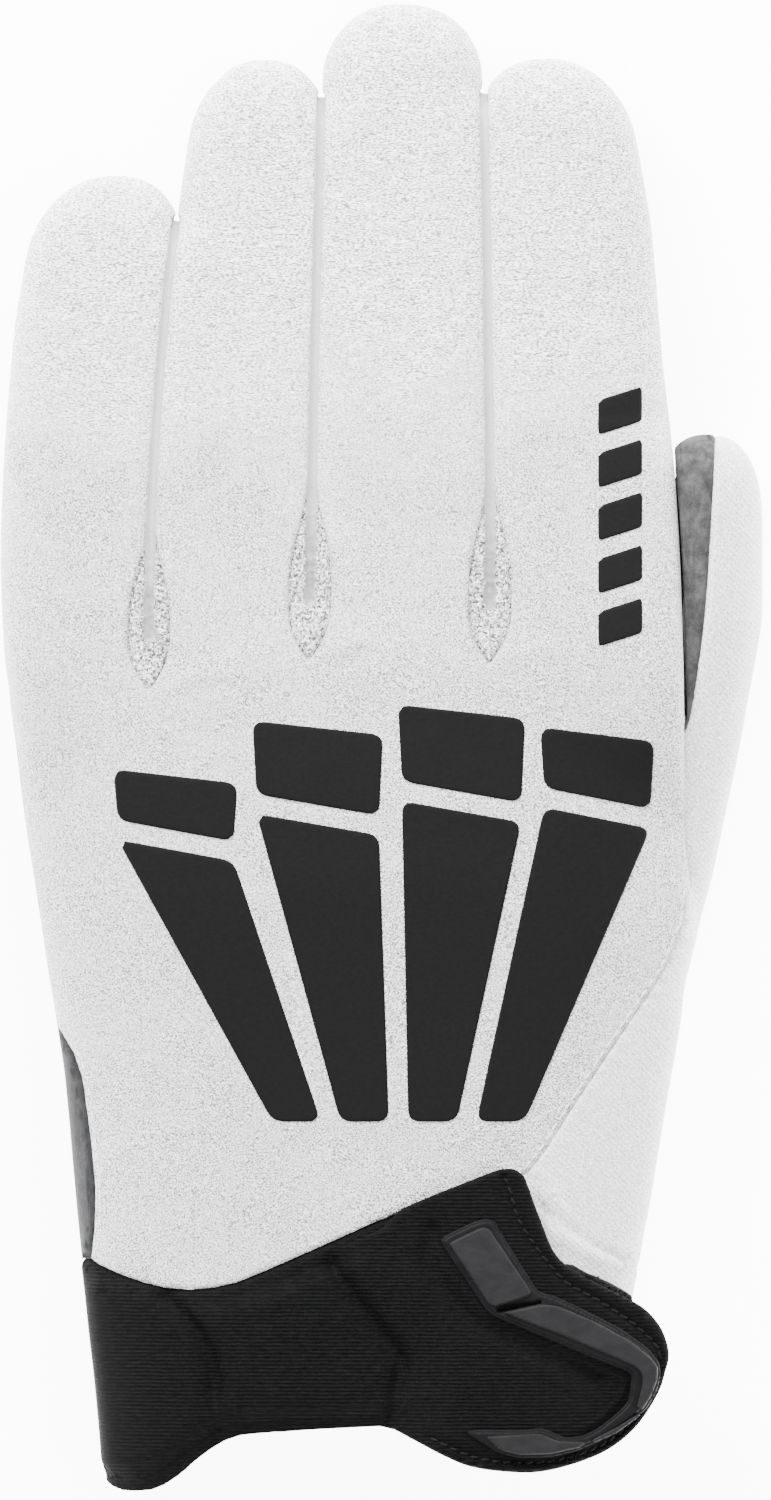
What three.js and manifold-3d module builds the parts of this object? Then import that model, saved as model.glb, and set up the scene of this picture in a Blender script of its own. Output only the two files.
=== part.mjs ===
// A left-hand off-road riding glove, lying palm down. Millimetres, +Y towards the fingertips, +Z up,
// the palm on z = 0. Every cloth piece is a thin shell of its own, cut from one hollow hand form along
// its seams.
import * as THREE from "three";
import { mergeVertices } from "three/addons/utils/BufferGeometryUtils.js";
import Module from "manifold-3d";

const wasm = await Module();
wasm.setup();

// Driving dimensions
const WALL = 1.3; // knit and suede with their backing
const GAP = 0.3; // clearance between neighbouring pieces
const FINGER_SLIT = 0.8; // air between two fingers
const THUMB_CLEARANCE = 0.6; // air between the thumb and the index finger
const CUFF_PROUD = 0.5; // the ribbed band stands out this far past the white cloth
const PAD_PROUD = 1.7; // the band's moulded pads
const PAD_GROOVE = 2.6; // width of the grooves between the pads
const STRAP_THICK = 1.7;
const STRAP_SEAT = 0.4; // clearance over the band at the strap's root
const STRAP_LIFT = 0.8; // further rise over the thumb side, for the patch under it
const STRAP_LIFT_FROM_X = 3;
const STRAP_LIFT_TO_X = 14;
const MOULDING_BASE = 1.0;
const MOULDING_RAISED = 1.8;
const MOULDING_PANEL_ROOT = 0.5; // the raised panels start inside the base
const PATCH_THICK = 0.9;
const PRINT_THICK = 0.5;
const FLOOR = 0;
const CROTCH_Y = 6; // where the thumb leaves the hand, and where the knuckle end rounds off
const HAND_CAP = 14; // length of that rounded end
const THUMB_CAP = 13;
const BEYOND = 130; // past the object on every side
const ROOF = 45; // above the object
const LOW_SEAM_Z = 4; // seam between the palm and the thumb side, and round the wrist
const BAND_END_X = 8.9; // the band is sewn down as far as this, and the strap goes on freely
const PALM_BAND_Y = -79; // where the band starts on the palm side

// The hand from the wrist to the knuckles: its edges, the height of its widest line, and its top
const HAND = [
  { y: -122, left: -41.5, right: 32.2, widest: 12.5, top: 25.5 },
  { y: -100, left: -43.9, right: 36.0, widest: 12.5, top: 27 },
  { y: -80, left: -46.2, right: 39.6, widest: 12.5, top: 27 },
  { y: -55, left: -48.8, right: 44.1, widest: 12.5, top: 26.5 },
  { y: -40, left: -50.9, right: 46.7, widest: 12.5, top: 26.5 },
  { y: -25, left: -53.3, right: 48.6, widest: 13, top: 26.5 },
  { y: -10, left: -55.6, right: 48.3, widest: 13.5, top: 26 },
  { y: 6, left: -57.6, right: 47.8, widest: 13.8, top: 24.9 },
];

// The lines along the fingers: the two outer edges, and the middle of each slit
const LINES = [
  { y: -12, ulnar: -54.4, slit1: -36.4, slit2: -11.6, slit3: 16.6, radial: 47.4 },
  { y: 6, ulnar: -57.5, slit1: -36.3, slit2: -11.5, slit3: 16.6, radial: 47.7 },
  { y: 16, ulnar: -58.6, slit1: -36.2, slit2: -11.4, slit3: 16.6, radial: 47.3 },
  { y: 30, ulnar: -59.0, slit1: -36.0, slit2: -11.1, slit3: 16.7, radial: 46.5 },
  { y: 46, ulnar: -58.4, slit1: -35.3, slit2: -10.8, slit3: 16.6, radial: 45.3 },
  { y: 61, ulnar: -57.3, slit1: -34.2, slit2: -10.5, slit3: 16.4, radial: 43.2 },
  { y: 77, ulnar: -54.8, slit1: -32.6, slit2: -10.1, slit3: 16.2, radial: 41.6 },
  { y: 92, ulnar: -52.0, slit1: -30.6, slit2: -9.7, slit3: 15.9, radial: 39.1 },
  { y: 116, ulnar: -48.0, slit1: -27.0, slit2: -9.2, slit3: 15.4, radial: 34.0 },
];

// The fingers seen from the side, which they share
const FINGER_SIDE = [
  { y: -12, widest: 13.4, top: 18, bottom: 0 },
  { y: 0, widest: 13.7, top: 22.3, bottom: 0.2 },
  { y: 12, widest: 13.8, top: 23.8, bottom: 0.4 },
  { y: 36, widest: 12.5, top: 21.4, bottom: 1.6 },
  { y: 66, widest: 11, top: 18.7, bottom: 2.2 },
  { y: 90, widest: 9.5, top: 16.9, bottom: 1.5 },
  { y: 116, widest: 8.2, top: 15.4, bottom: 0.5 },
];

// Each finger lies between two lines, ends at a tip and is rounded over its cap
const FINGERS = [
  { name: "little", from: "ulnar", to: "slit1", tip: 88.6, cap: 14.4, fullness: 0.9 },
  { name: "ring", from: "slit1", to: "slit2", tip: 106.7, cap: 14.2, fullness: 0.97 },
  { name: "middle", from: "slit2", to: "slit3", tip: 115.2, cap: 12.7, fullness: 1 },
  { name: "index", from: "slit3", to: "radial", tip: 106.7, cap: 13, fullness: 0.97 },
];

const indexFinger = FINGERS.find(({ name }) => name === "index");

// The thumb's flattened oval sections, leaning towards the index finger
const THUMB = [
  { y: -46, x: 31.5, z: 8.4, narrow: 10, long: 8.2, lean: 0 },
  { y: -25, x: 37.8, z: 8.5, narrow: 12.2, long: 8.3, lean: 0 },
  { y: -9, x: 43.2, z: 8.5, narrow: 10.2, long: 8.5, lean: 4 },
  { y: 7, x: 48.3, z: 9, narrow: 7.9, long: 9.2, lean: 12 },
  { y: 22, x: 52, z: 9.8, narrow: 6.4, long: 10, lean: 19 },
  { y: 35, x: 52.05, z: 9.8, narrow: 6.3, long: 10, lean: 20 },
];

// Seams seen from above
const HEM_OF_BACK = [
  { x: -45.4, y: -79.2 },
  { x: -37.6, y: -82.5 },
  { x: -28.3, y: -84.1 },
  { x: -23.6, y: -83.6 },
  { x: -12.8, y: -79.6 },
  { x: -5.0, y: -76.0 },
  { x: 2.7, y: -72.3 },
  { x: BAND_END_X, y: -70.2 },
];
const THUMB_SEAM = [
  { x: 48.0, y: -19.5 },
  { x: 46.6, y: -27.7 },
  { x: 42.2, y: -37.0 },
  { x: 35.3, y: -47.0 },
  { x: 29.1, y: -56.3 },
  { x: 22.4, y: -66.0 },
  { x: BAND_END_X, y: -70.2 },
];
const PALM_WRAP_SEAM = [
  { x: -52.2, y: -41.3 },
  { x: -50.0, y: -44.4 },
  { x: -46.7, y: -51.4 },
  { x: -45.2, y: -62.5 },
  { x: -44.2, y: -72 },
  { x: -43.7, y: PALM_BAND_Y - 2 },
];
const THUMB_TOP_SEAM = [
  { x: 52.0, y: 54 },
  { x: 51.4, y: 41.3 },
  { x: 50.3, y: 24.3 },
  { x: 50, y: 10 },
  { x: 50, y: 4.6 },
  { x: 48.2, y: 2 },
  { x: 45.8, y: -1 },
  { x: 43, y: -7 },
];
const THUMB_BASE_SEAM = [
  { x: 37, y: 4 },
  { x: 44, y: -1 },
  { x: 49, y: -6 },
  { x: 56, y: -12 },
  { x: 63, y: -15 },
];
const WRIST_HEM = [
  { x: -BEYOND, y: -109.7 },
  { x: -43.5, y: -109.7 },
  { x: -42.7, y: -113.5 },
  { x: -41.5, y: -114.8 },
  { x: -38.1, y: -115.3 },
  { x: -33.4, y: -113.8 },
  { x: -26.1, y: -108.1 },
  { x: -22.2, y: -106.3 },
  { x: -10.3, y: -105.3 },
  { x: 0.2, y: -104.8 },
  { x: 12, y: -103.6 },
  { x: BEYOND, y: -103.2 },
];

// The low seam past the wrist: it cuts only the thumb side, from x0 outwards
const LOW_SEAM_AT_THUMB = [
  { y: -80, x0: 0 },
  { y: -20, x0: 20 },
  { y: -8, x0: 45 },
  { y: 0, x0: 49.3 },
  { y: 12, x0: 49.3 },
  { y: 30, x0: 51.3 },
  { y: 60, x0: 51.3 },
];
// A short cut from the thumb seam's upper end to the root of the thumb
const THUMB_SEAM_END = [
  { x: 49.5, y: -19.5 },
  { x: 44.5, y: -20.2 },
];
const THUMB_ROOT = { x: 37, y: -20.5 }; // past these the hand and the thumb part along their join
const SIDE_SEAM_FROM = { ulnar: -49, radial: -21 };
const SEAM_CUT_LOW = 9; // seams on the back are cut down to this height, through the top wall only
const WRAP_CUT_LOW = 11.5;
const TOP_ONLY = 14; // what lies on the back stays above this height

// The strips between the fingers: half width, and reach below and above the widest line. They are
// full height at the crotch and narrow to a strip along the fingers' sides.
const FOURCHETTE_SIDE = [
  { y: 8.6, half: 0.7, below: 10.8, above: 30 },
  { y: 10.2, half: 2, below: 10.8, above: 30 },
  { y: 13, half: 2.75, below: 10.8, above: 30 },
  { y: 30, half: 2.75, below: 9.3, above: 30 },
  { y: 38, half: 2.6, below: 5, above: 7 },
  { y: 46, half: 2.6, below: 3.5, above: 3.5 },
  { y: 64, half: 2.6, below: 3.2, above: 3.2 },
];
const FOURCHETTE_END = { half: 2.6, below: 2.6, above: 2.6 };
const FOURCHETTES = [
  { name: "fourchette_little_ring", slit: "slit1", end: 80 },
  { name: "fourchette_ring_middle", slit: "slit2", end: 98 },
  { name: "fourchette_middle_index", slit: "slit3", end: 98 },
];

// The soft fold in the white cloth beside the strap
const FOLD = { depth: 0.5, width: 1.6 };
const FOLD_LINE = [
  { x: 25.5, y: -70.2 },
  { x: 30.5, y: -74.6 },
  { x: 38.0, y: -79.6 },
];

// Grooves across the band, which part its pads
const GROOVES = [
  [
    { x: -33.7, y: -85.3 },
    { x: -30.1, y: -88.6 },
    { x: -27.5, y: -92.3 },
    { x: -26.0, y: -97 },
    { x: -25.7, y: -109 },
  ],
  [
    { x: -8.5, y: -79.4 },
    { x: -5.0, y: -84.4 },
    { x: -1.0, y: -89.7 },
    { x: 2.4, y: -94.8 },
    { x: 2.2, y: -99.6 },
    { x: 1.6, y: -106 },
  ],
];
const PAD_CORNER = 2.5;
// Where the pads lie on the band: inside the hem by a flat margin
const PADS = [
  { x: -39.5, y: -86.0 },
  { x: -28.3, y: -87.2 },
  { x: -22.6, y: -86.6 },
  { x: -9.2, y: -81.4 },
  { x: -5.0, y: -84.4 },
  { x: -1.0, y: -89.7 },
  { x: 2.4, y: -94.8 },
  { x: 2.0, y: -103.2 },
  { x: -22.4, y: -104.3 },
  { x: -27.0, y: -106.2 },
  { x: -34.0, y: -111.4 },
  { x: -38.3, y: -112.8 },
  { x: -39.8, y: -109 },
];

// The strap, from its root on the band round its free end
const STRAP = [
  { x: 1.9, y: -73.9 },
  { x: 8.9, y: -70.1 },
  { x: 15.5, y: -67.0 },
  { x: 19.3, y: -65.6 },
  { x: 21.5, y: -66.6 },
  { x: 24.7, y: -75.1 },
  { x: 28.7, y: -80.1 },
  { x: 37.3, y: -84.4 },
  { x: 43.3, y: -90.3 },
  { x: 44.3, y: -94.3 },
  { x: 42.5, y: -100.2 },
  { x: 39.3, y: -105.5 },
  { x: 34.6, y: -109.2 },
  { x: 29.4, y: -111.2 },
  { x: 21.5, y: -112.2 },
  { x: 13.6, y: -111.2 },
  { x: 9.5, y: -109.5 },
  { x: 4.6, y: -106.9 },
  { x: 4.6, y: -99.6 },
  { x: 5.2, y: -94.6 },
  { x: 1.5, y: -88.2 },
  { x: -2.5, y: -82.9 },
  { x: -3.6, y: -79.2 },
];

// The moulding on the strap's end, a hook with raised panels
const MOULDING = [
  { x: 9.5, y: -75.6 },
  { x: 15.9, y: -72.9 },
  { x: 18.2, y: -74.8 },
  { x: 24.3, y: -84.4 },
  { x: 36.8, y: -90.1 },
  { x: 41.6, y: -93.2 },
  { x: 42.6, y: -96.5 },
  { x: 41.0, y: -102.2 },
  { x: 33.4, y: -106.6 },
  { x: 26.0, y: -109.4 },
  { x: 20.8, y: -109.7 },
  { x: 12.9, y: -105.9 },
  { x: 24.6, y: -105.4 },
  { x: 31.1, y: -105.4 },
  { x: 37.1, y: -102.3 },
  { x: 39.0, y: -97.2 },
  { x: 33.4, y: -95.2 },
  { x: 24.6, y: -90.9 },
  { x: 16.0, y: -87.7 },
];
const MOULDING_PANELS = [
  [
    { x: 10.8, y: -77.0 },
    { x: 15.3, y: -74.6 },
    { x: 16.7, y: -74.9 },
    { x: 22.6, y: -84.4 },
    { x: 17.2, y: -86.4 },
  ],
  [
    { x: 19.8, y: -88.1 },
    { x: 24.4, y: -86.0 },
    { x: 36.6, y: -91.2 },
    { x: 40.6, y: -94.2 },
    { x: 38.6, y: -96.2 },
    { x: 33.4, y: -94.4 },
  ],
  [
    { x: 40.2, y: -96.4 },
    { x: 41.8, y: -96.4 },
    { x: 40.4, y: -101.4 },
    { x: 37.0, y: -103.6 },
    { x: 35.4, y: -103.6 },
    { x: 38.4, y: -101.2 },
  ],
  [
    { x: 15.8, y: -106.5 },
    { x: 24.6, y: -106.3 },
    { x: 27.6, y: -107.4 },
    { x: 26.0, y: -108.6 },
    { x: 20.8, y: -108.9 },
  ],
];

// The hook-and-loop patch under the strap
const PATCH = [
  { x: 23, y: -79.6 },
  { x: 28.6, y: -78.9 },
  { x: 34, y: -81.3 },
  { x: 38, y: -84 },
  { x: 36, y: -99 },
  { x: 14, y: -101 },
  { x: 12, y: -88 },
];
const PATCH_CORNER = 1.5;

// The raised print: tapered bars that fan from the wrist, with a knuckle bar above each
const PRINT_RAYS = [
  { wristLeft: -17, wristRight: -9.5, left: -41, right: -23, top: -15.5, knuckle: -3.5 },
  { wristLeft: -6.5, wristRight: 1, left: -19.5, right: -0.5, top: -11.5, knuckle: 4 },
  { wristLeft: 4, wristRight: 11.5, left: 3, right: 21.5, top: -9.5, knuckle: 6.5 },
  { wristLeft: 14.5, wristRight: 22, left: 25, right: 41.5, top: -10.5, knuckle: 3 },
];
const PRINT_WRIST_Y = -58;
const PRINT_SPLIT = 3;
const PRINT_CORNER = 1.8;
const PRINT_SLANT = 2.2;
const PRINT_FLARE = 0.6; // the knuckle bars widen towards the fingers

// Short slanted bars on the side of the index finger
const SIDE_BARS = { count: 5, first: 15.4, pitch: 8.2, length: 5.4, left: 33.4, right: 40.2, slant: 2.2 };

// How finely the curved forms are faceted, and the stations of their sections along y
const HAND_STATIONS = [-124, -100, -80, -58, -38, -22, -8];
const THUMB_STATIONS = [-46, -25, -9, 7, 21];
const HAND_SIDES = { outside: 28, hollow: 20 };
const FINGER_SIDES = { outside: 16, hollow: 10 };
const THUMB_SIDES = { outside: 16, hollow: 10 };
const FINGER_STATIONS = { outside: [-12, 4, 20, 42, 66, 86], hollow: [-12, 20, 46, 72] };
const CAP_STEPS = { outside: [0, 0.48, 0.8, 0.96], hollow: [0, 0.65, 0.93] };
const CAP_ROUNDNESS = 2.3;
const BEFORE_CAP = 5; // no station lies closer than this to the start of a cap
const ARC_SAMPLES = 80;
const SIDE_SEAM_STEP = 14;
const DRAPE_STEP_ACROSS = 6;
const DRAPE_STEP_ALONG = 16;

// Colours
const WHITE_KNIT = 0xe2e2e2;
const WHITE_STRETCH = 0xececec;
const GREY_SUEDE = 0x8f8f8f;
const DARK_SUEDE = 0x5f6062;
const BLACK_KNIT = 0x1c1c1d;
const BLACK_TAPE = 0x121212;
const GREY_RUBBER = 0x3a3a3c;
const BLACK_PRINT = 0x202020;

// A smooth curve through a table's column that never overshoots between its rows
function curve(rows, column, key = "y") {
  const at = rows.map((row) => row[key]);
  const value = rows.map((row) => row[column]);
  const slope = at.slice(1).map((a, i) => (value[i + 1] - value[i]) / (a - at[i]));
  const tangent = value.map((_, i) => {
    if (i === 0) return slope[0];
    if (i === value.length - 1) return slope[i - 1];
    const [before, after] = [slope[i - 1], slope[i]];
    return before * after <= 0 ? 0 : (2 * before * after) / (before + after);
  });
  return (where) => {
    if (where <= at[0]) return value[0] + slope[0] * (where - at[0]);
    const last = at.length - 1;
    if (where >= at[last]) return value[last] + slope[last - 1] * (where - at[last]);
    const i = at.findIndex((a) => a > where) - 1;
    const step = at[i + 1] - at[i];
    const t = (where - at[i]) / step;
    const [t2, t3] = [t * t, t * t * t];
    return (
      (2 * t3 - 3 * t2 + 1) * value[i] +
      (t3 - 2 * t2 + t) * step * tangent[i] +
      (3 * t2 - 2 * t3) * value[i + 1] +
      (t3 - t2) * step * tangent[i + 1]
    );
  };
}

const hand = {
  left: curve(HAND, "left"),
  right: curve(HAND, "right"),
  widest: curve(HAND, "widest"),
  top: curve(HAND, "top"),
};
const line = {};
for (const name of ["ulnar", "slit1", "slit2", "slit3", "radial"]) line[name] = curve(LINES, name);
const finger = {
  widest: curve(FINGER_SIDE, "widest"),
  top: curve(FINGER_SIDE, "top"),
  bottom: curve(FINGER_SIDE, "bottom"),
};

// The side seam between the back and the palm
function seamHeight(y) {
  return y < 0 ? hand.widest(y) : finger.widest(y);
}

// A closed mesh with shared vertices, as a solid that can be joined and cut
function solid(geometry) {
  const bare = geometry.clone();
  bare.deleteAttribute("normal");
  bare.deleteAttribute("uv");
  const merged = mergeVertices(bare, 1e-4);
  const triVerts = new Uint32Array(merged.index.array);
  const vertProperties = new Float32Array(merged.attributes.position.array);
  return new wasm.Manifold(new wasm.Mesh({ numProp: 3, vertProperties, triVerts }));
}

// A solid through closed rings of equal length; an end that is one point closes as a cone
function loft(rings) {
  const points = [];
  const starts = rings.map((ring) => {
    points.push(...ring);
    return points.length - ring.length;
  });
  const triangles = [];
  for (let r = 0; r + 1 < rings.length; r += 1) {
    const [a, b] = [starts[r], starts[r + 1]];
    const [na, nb] = [rings[r].length, rings[r + 1].length];
    const sides = Math.max(na, nb);
    for (let i = 0; i < sides; i += 1) {
      const j = (i + 1) % sides;
      if (na > 1) triangles.push([a + i, a + j, nb > 1 ? b + j : b]);
      if (nb > 1) triangles.push([na > 1 ? a + i : a, b + j, b + i]);
    }
  }
  closeEnd(points, rings[0], starts[0], triangles, false);
  closeEnd(points, rings.at(-1), starts.at(-1), triangles, true);
  return solid(facingOut(points, triangles));
}

function closeEnd(points, ring, start, triangles, far) {
  if (ring.length === 1) return;
  const middle = new THREE.Vector3();
  for (const p of ring) middle.addScaledVector(p, 1 / ring.length);
  points.push(middle);
  for (let i = 0; i < ring.length; i += 1) {
    const [a, b] = [start + i, start + ((i + 1) % ring.length)];
    triangles.push(far ? [a, b, points.length - 1] : [b, a, points.length - 1]);
  }
}

// A mesh of these points and triangles, turned round if its faces point inwards
function facingOut(points, triangles) {
  let volume = 0;
  for (const [a, b, c] of triangles) {
    volume += points[a].dot(new THREE.Vector3().crossVectors(points[b], points[c]));
  }
  const index = triangles.flatMap(([a, b, c]) => (volume > 0 ? [a, b, c] : [a, c, b]));
  return new THREE.BufferGeometry().setFromPoints(points).setIndex(index);
}

// Half of a superellipse as even steps along its arc, from +x to -x
function halfOval(sides, halfWidth, height, squareness, roundness) {
  const fine = [];
  for (let i = 0; i <= ARC_SAMPLES; i += 1) {
    const angle = (Math.PI * i) / ARC_SAMPLES;
    const c = Math.cos(angle);
    const across = Math.sign(c) * Math.abs(c) ** (2 / squareness);
    const up = Math.abs(Math.sin(angle)) ** (2 / roundness);
    fine.push({ x: halfWidth * across, z: height * up });
  }
  const run = [0];
  for (let i = 1; i < fine.length; i += 1) {
    run.push(run[i - 1] + Math.hypot(fine[i].x - fine[i - 1].x, fine[i].z - fine[i - 1].z));
  }
  const half = sides / 2;
  const out = [];
  for (let k = 0; k < half; k += 1) {
    const target = (run.at(-1) * k) / half;
    const i = Math.min(run.findLastIndex((r) => r <= target), fine.length - 2);
    const t = (target - run[i]) / (run[i + 1] - run[i]);
    out.push({
      x: fine[i].x + t * (fine[i + 1].x - fine[i].x),
      z: fine[i].z + t * (fine[i + 1].z - fine[i].z),
    });
  }
  return out;
}

// One ring of the hand or of a finger; scale shrinks it inside a rounded end
function ovalRing(section, offset, scale, sides, shape) {
  const halfWidth = ((section.right - section.left) / 2 + offset) * scale;
  const middle = (section.right + section.left) / 2;
  const up = (section.top - section.widest + offset) * scale;
  const down = (section.widest - section.bottom + offset) * scale;
  const upper = halfOval(sides, halfWidth, up, shape.squareTop, shape.roundTop);
  const lower = halfOval(sides, halfWidth, down, shape.squareLow, shape.roundLow);
  return [
    ...upper.map((p) => new THREE.Vector3(middle + p.x, section.y, section.widest + p.z)),
    ...lower.map((p) => new THREE.Vector3(middle - p.x, section.y, section.widest - p.z)),
  ];
}

// A long form: plain sections up to capStart, then a rounded end
function ovalForm({ ys, sectionAt, capStart, capLength, offset, sides, shape }) {
  const rings = ys.map((y) => ovalRing(sectionAt(y), offset, 1, sides, shape));
  const length = capLength + offset;
  for (const v of facets(CAP_STEPS, offset)) {
    const scale = (1 - v ** CAP_ROUNDNESS) ** (1 / CAP_ROUNDNESS);
    rings.push(ovalRing(sectionAt(capStart + v * length), offset, scale, sides, shape));
  }
  const end = sectionAt(capStart + length);
  rings.push([new THREE.Vector3((end.left + end.right) / 2, end.y, end.widest)]);
  return loft(rings);
}

// The outside is faceted more finely than the hollow
function facets(choice, offset) {
  return offset <= -WALL ? choice.hollow : choice.outside;
}

const HAND_SHAPE = { squareTop: 3, roundTop: 2, squareLow: 5, roundLow: 3 };
const FINGER_SHAPE = { squareTop: 3, roundTop: 2.2, squareLow: 3, roundLow: 2.4 };
const SHOULDER = 0.8; // share of the half width where the back of the wrist turns down
const SLOPE_STEP = 0.02;
const PALM_SINK = 1.5; // the palm is pressed flat on the surface by this much

function handSection(y) {
  return {
    y,
    left: hand.left(y),
    right: hand.right(y),
    widest: hand.widest(y),
    top: hand.top(y),
    bottom: FLOOR - PALM_SINK,
  };
}

function handForm(offset) {
  return ovalForm({
    ys: HAND_STATIONS,
    sectionAt: handSection,
    capStart: CROTCH_Y,
    capLength: HAND_CAP,
    offset,
    sides: facets(HAND_SIDES, offset),
    shape: HAND_SHAPE,
  });
}

function fingerForm(spec, offset) {
  const capStart = spec.tip - spec.cap;
  return ovalForm({
    ys: facets(FINGER_STATIONS, offset).filter((y) => y < capStart - BEFORE_CAP),
    sectionAt: (y) => ({
      y,
      left: line[spec.from](y) + (spec.from === "ulnar" ? 0 : FINGER_SLIT / 2),
      right: line[spec.to](y) - (spec.to === "radial" ? 0 : FINGER_SLIT / 2),
      widest: finger.widest(y),
      top: finger.widest(y) + (finger.top(y) - finger.widest(y)) * spec.fullness,
      bottom: finger.bottom(y),
    }),
    capStart,
    capLength: spec.cap,
    offset,
    sides: facets(FINGER_SIDES, offset),
    shape: FINGER_SHAPE,
  });
}

function handWithFingers(offset) {
  return FINGERS.reduce((form, spec) => form.add(fingerForm(spec, offset)), handForm(offset));
}

function thumbRing(y, offset, scale) {
  const row = {};
  for (const column of ["x", "z", "narrow", "long", "lean"]) row[column] = thumb[column](y);
  const lean = THREE.MathUtils.degToRad(row.lean);
  const ring = [];
  const sides = facets(THUMB_SIDES, offset);
  for (let i = 0; i < sides; i += 1) {
    const angle = (2 * Math.PI * i) / sides;
    const across = (row.narrow + offset) * scale * Math.cos(angle);
    const up = (row.long + offset) * scale * Math.sin(angle);
    const x = row.x + across * Math.cos(lean) - up * Math.sin(lean);
    const z = row.z + across * Math.sin(lean) + up * Math.cos(lean);
    ring.push(new THREE.Vector3(x, y, z));
  }
  return ring;
}

const thumb = {};
for (const column of ["x", "z", "narrow", "long", "lean"]) thumb[column] = curve(THUMB, column);

// The thumb, kept clear of the hand and the index finger past the crotch
function thumbForm(offset) {
  const rings = THUMB_STATIONS.map((y) => thumbRing(y, offset, 1));
  const capStart = THUMB.at(-1).y;
  const length = THUMB_CAP + offset;
  for (const v of facets(CAP_STEPS, offset)) {
    const scale = (1 - v ** CAP_ROUNDNESS) ** (1 / CAP_ROUNDNESS);
    rings.push(thumbRing(capStart + v * length, offset, scale));
  }
  const end = capStart + length;
  rings.push([new THREE.Vector3(thumb.x(end), end, thumb.z(end))]);
  const keepOut = THUMB_CLEARANCE - offset;
  const neighbours = handForm(keepOut).add(fingerForm(indexFinger, keepOut));
  const past = box({
    x0: -BEYOND,
    x1: BEYOND,
    y0: CROTCH_Y + offset,
    y1: BEYOND,
    z0: -BEYOND,
    z1: BEYOND,
  });
  return loft(rings).subtract(neighbours.intersect(past));
}

function box({ x0, x1, y0, y1, z0, z1 }) {
  const shape = new THREE.BoxGeometry(x1 - x0, y1 - y0, z1 - z0);
  return solid(shape.translate((x0 + x1) / 2, (y0 + y1) / 2, (z0 + z1) / 2));
}

// A rectangular section carried along y
function bar(rows) {
  return loft(
    rows.map(({ y, x0, x1, z0, z1 }) => [
      new THREE.Vector3(x0, y, z0),
      new THREE.Vector3(x1, y, z0),
      new THREE.Vector3(x1, y, z1),
      new THREE.Vector3(x0, y, z1),
    ]),
  );
}

// An outline seen from above, raised between two heights
function prism(outline, z0, z1) {
  const shape = new THREE.Shape(outline.map((p) => new THREE.Vector2(p.x, p.y)));
  const raised = new THREE.ExtrudeGeometry(shape, { depth: z1 - z0, bevelEnabled: false });
  return solid(raised.translate(0, 0, z0));
}

// An outline with its corners rounded off by arcs of this radius
function rounded(outline, radius) {
  const out = [];
  outline.forEach((corner, i) => {
    const before = outline[(i + outline.length - 1) % outline.length];
    const after = outline[(i + 1) % outline.length];
    const here = new THREE.Vector2(corner.x, corner.y);
    const back = new THREE.Vector2(before.x, before.y).sub(here);
    const on = new THREE.Vector2(after.x, after.y).sub(here);
    const cut = Math.min(radius, back.length() / 2.2, on.length() / 2.2);
    const start = here.clone().addScaledVector(back.normalize(), cut);
    const end = here.clone().addScaledVector(on.normalize(), cut);
    out.push(...new THREE.QuadraticBezierCurve(start, here, end).getPoints(2));
  });
  return out;
}

// A thin upright blade along a line seen from above
function blade(points, width, z0, z1) {
  const sides = [[], []];
  points.forEach((p, i) => {
    const before = points[Math.max(i - 1, 0)];
    const after = points[Math.min(i + 1, points.length - 1)];
    const length = Math.hypot(after.x - before.x, after.y - before.y);
    const [nx, ny] = [-(after.y - before.y) / length, (after.x - before.x) / length];
    sides[0].push({ x: p.x + (nx * width) / 2, y: p.y + (ny * width) / 2 });
    sides[1].unshift({ x: p.x - (nx * width) / 2, y: p.y - (ny * width) / 2 });
  });
  return prism([...sides[0], ...sides[1]], z0, z1);
}

function largest(form) {
  return form.decompose().reduce((a, b) => (a.volume() > b.volume() ? a : b));
}

// Of the bodies that the cuts leave, the one that has most inside a small probe
function bodyAt(bodies, { x, y, z }, reach = 3) {
  const probe = box({
    x0: x - reach,
    x1: x + reach,
    y0: y - reach,
    y1: y + reach,
    z0: z - reach,
    z1: z + reach,
  });
  const found = bodies.map((body) => body.intersect(probe).volume());
  return bodies[found.indexOf(Math.max(...found))];
}

// The glove's hollow form
const above = (z) => box({ x0: -BEYOND, x1: BEYOND, y0: -BEYOND, y1: BEYOND, z0: z, z1: BEYOND });
const handOutside = handWithFingers(0).intersect(above(FLOOR));
const outside = handWithFingers(0).add(thumbForm(0)).intersect(above(FLOOR));
const hollow = handWithFingers(-WALL).add(thumbForm(-WALL)).intersect(above(FLOOR + WALL));
const keptByHem = prism(
  [...WRIST_HEM, { x: BEYOND, y: BEYOND }, { x: -BEYOND, y: BEYOND }],
  -BEYOND,
  BEYOND,
);

// The strip between two fingers: full height at the crotch, then down along the fingers' sides
function fourchetteZone({ slit, end }, grow) {
  const [first, ...rest] = FOURCHETTE_SIDE;
  const rows = [{ ...first, y: first.y - grow }, ...rest, { ...FOURCHETTE_END, y: end + grow }];
  return bar(
    rows.map(({ y, half, below, above }) => ({
      y,
      x0: line[slit](y) - half - grow,
      x1: line[slit](y) + half + grow,
      z0: finger.widest(y) - below - grow,
      z1: finger.widest(y) + above + grow,
    })),
  );
}

// A level blade at the side seam's height, on one side of the hand
function sideSeam(x0, x1, from) {
  const rows = [];
  for (let y = from; y < BEYOND; y += SIDE_SEAM_STEP) rows.push(y);
  return bar(
    rows.map((y) => ({ y, x0, x1, z0: seamHeight(y) - GAP / 2, z1: seamHeight(y) + GAP / 2 })),
  );
}

function lowSeam(rows) {
  const [z0, z1] = [LOW_SEAM_Z - GAP / 2, LOW_SEAM_Z + GAP / 2];
  return bar(rows.map((row) => ({ x1: BEYOND, ...row, z0, z1 })));
}

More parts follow.
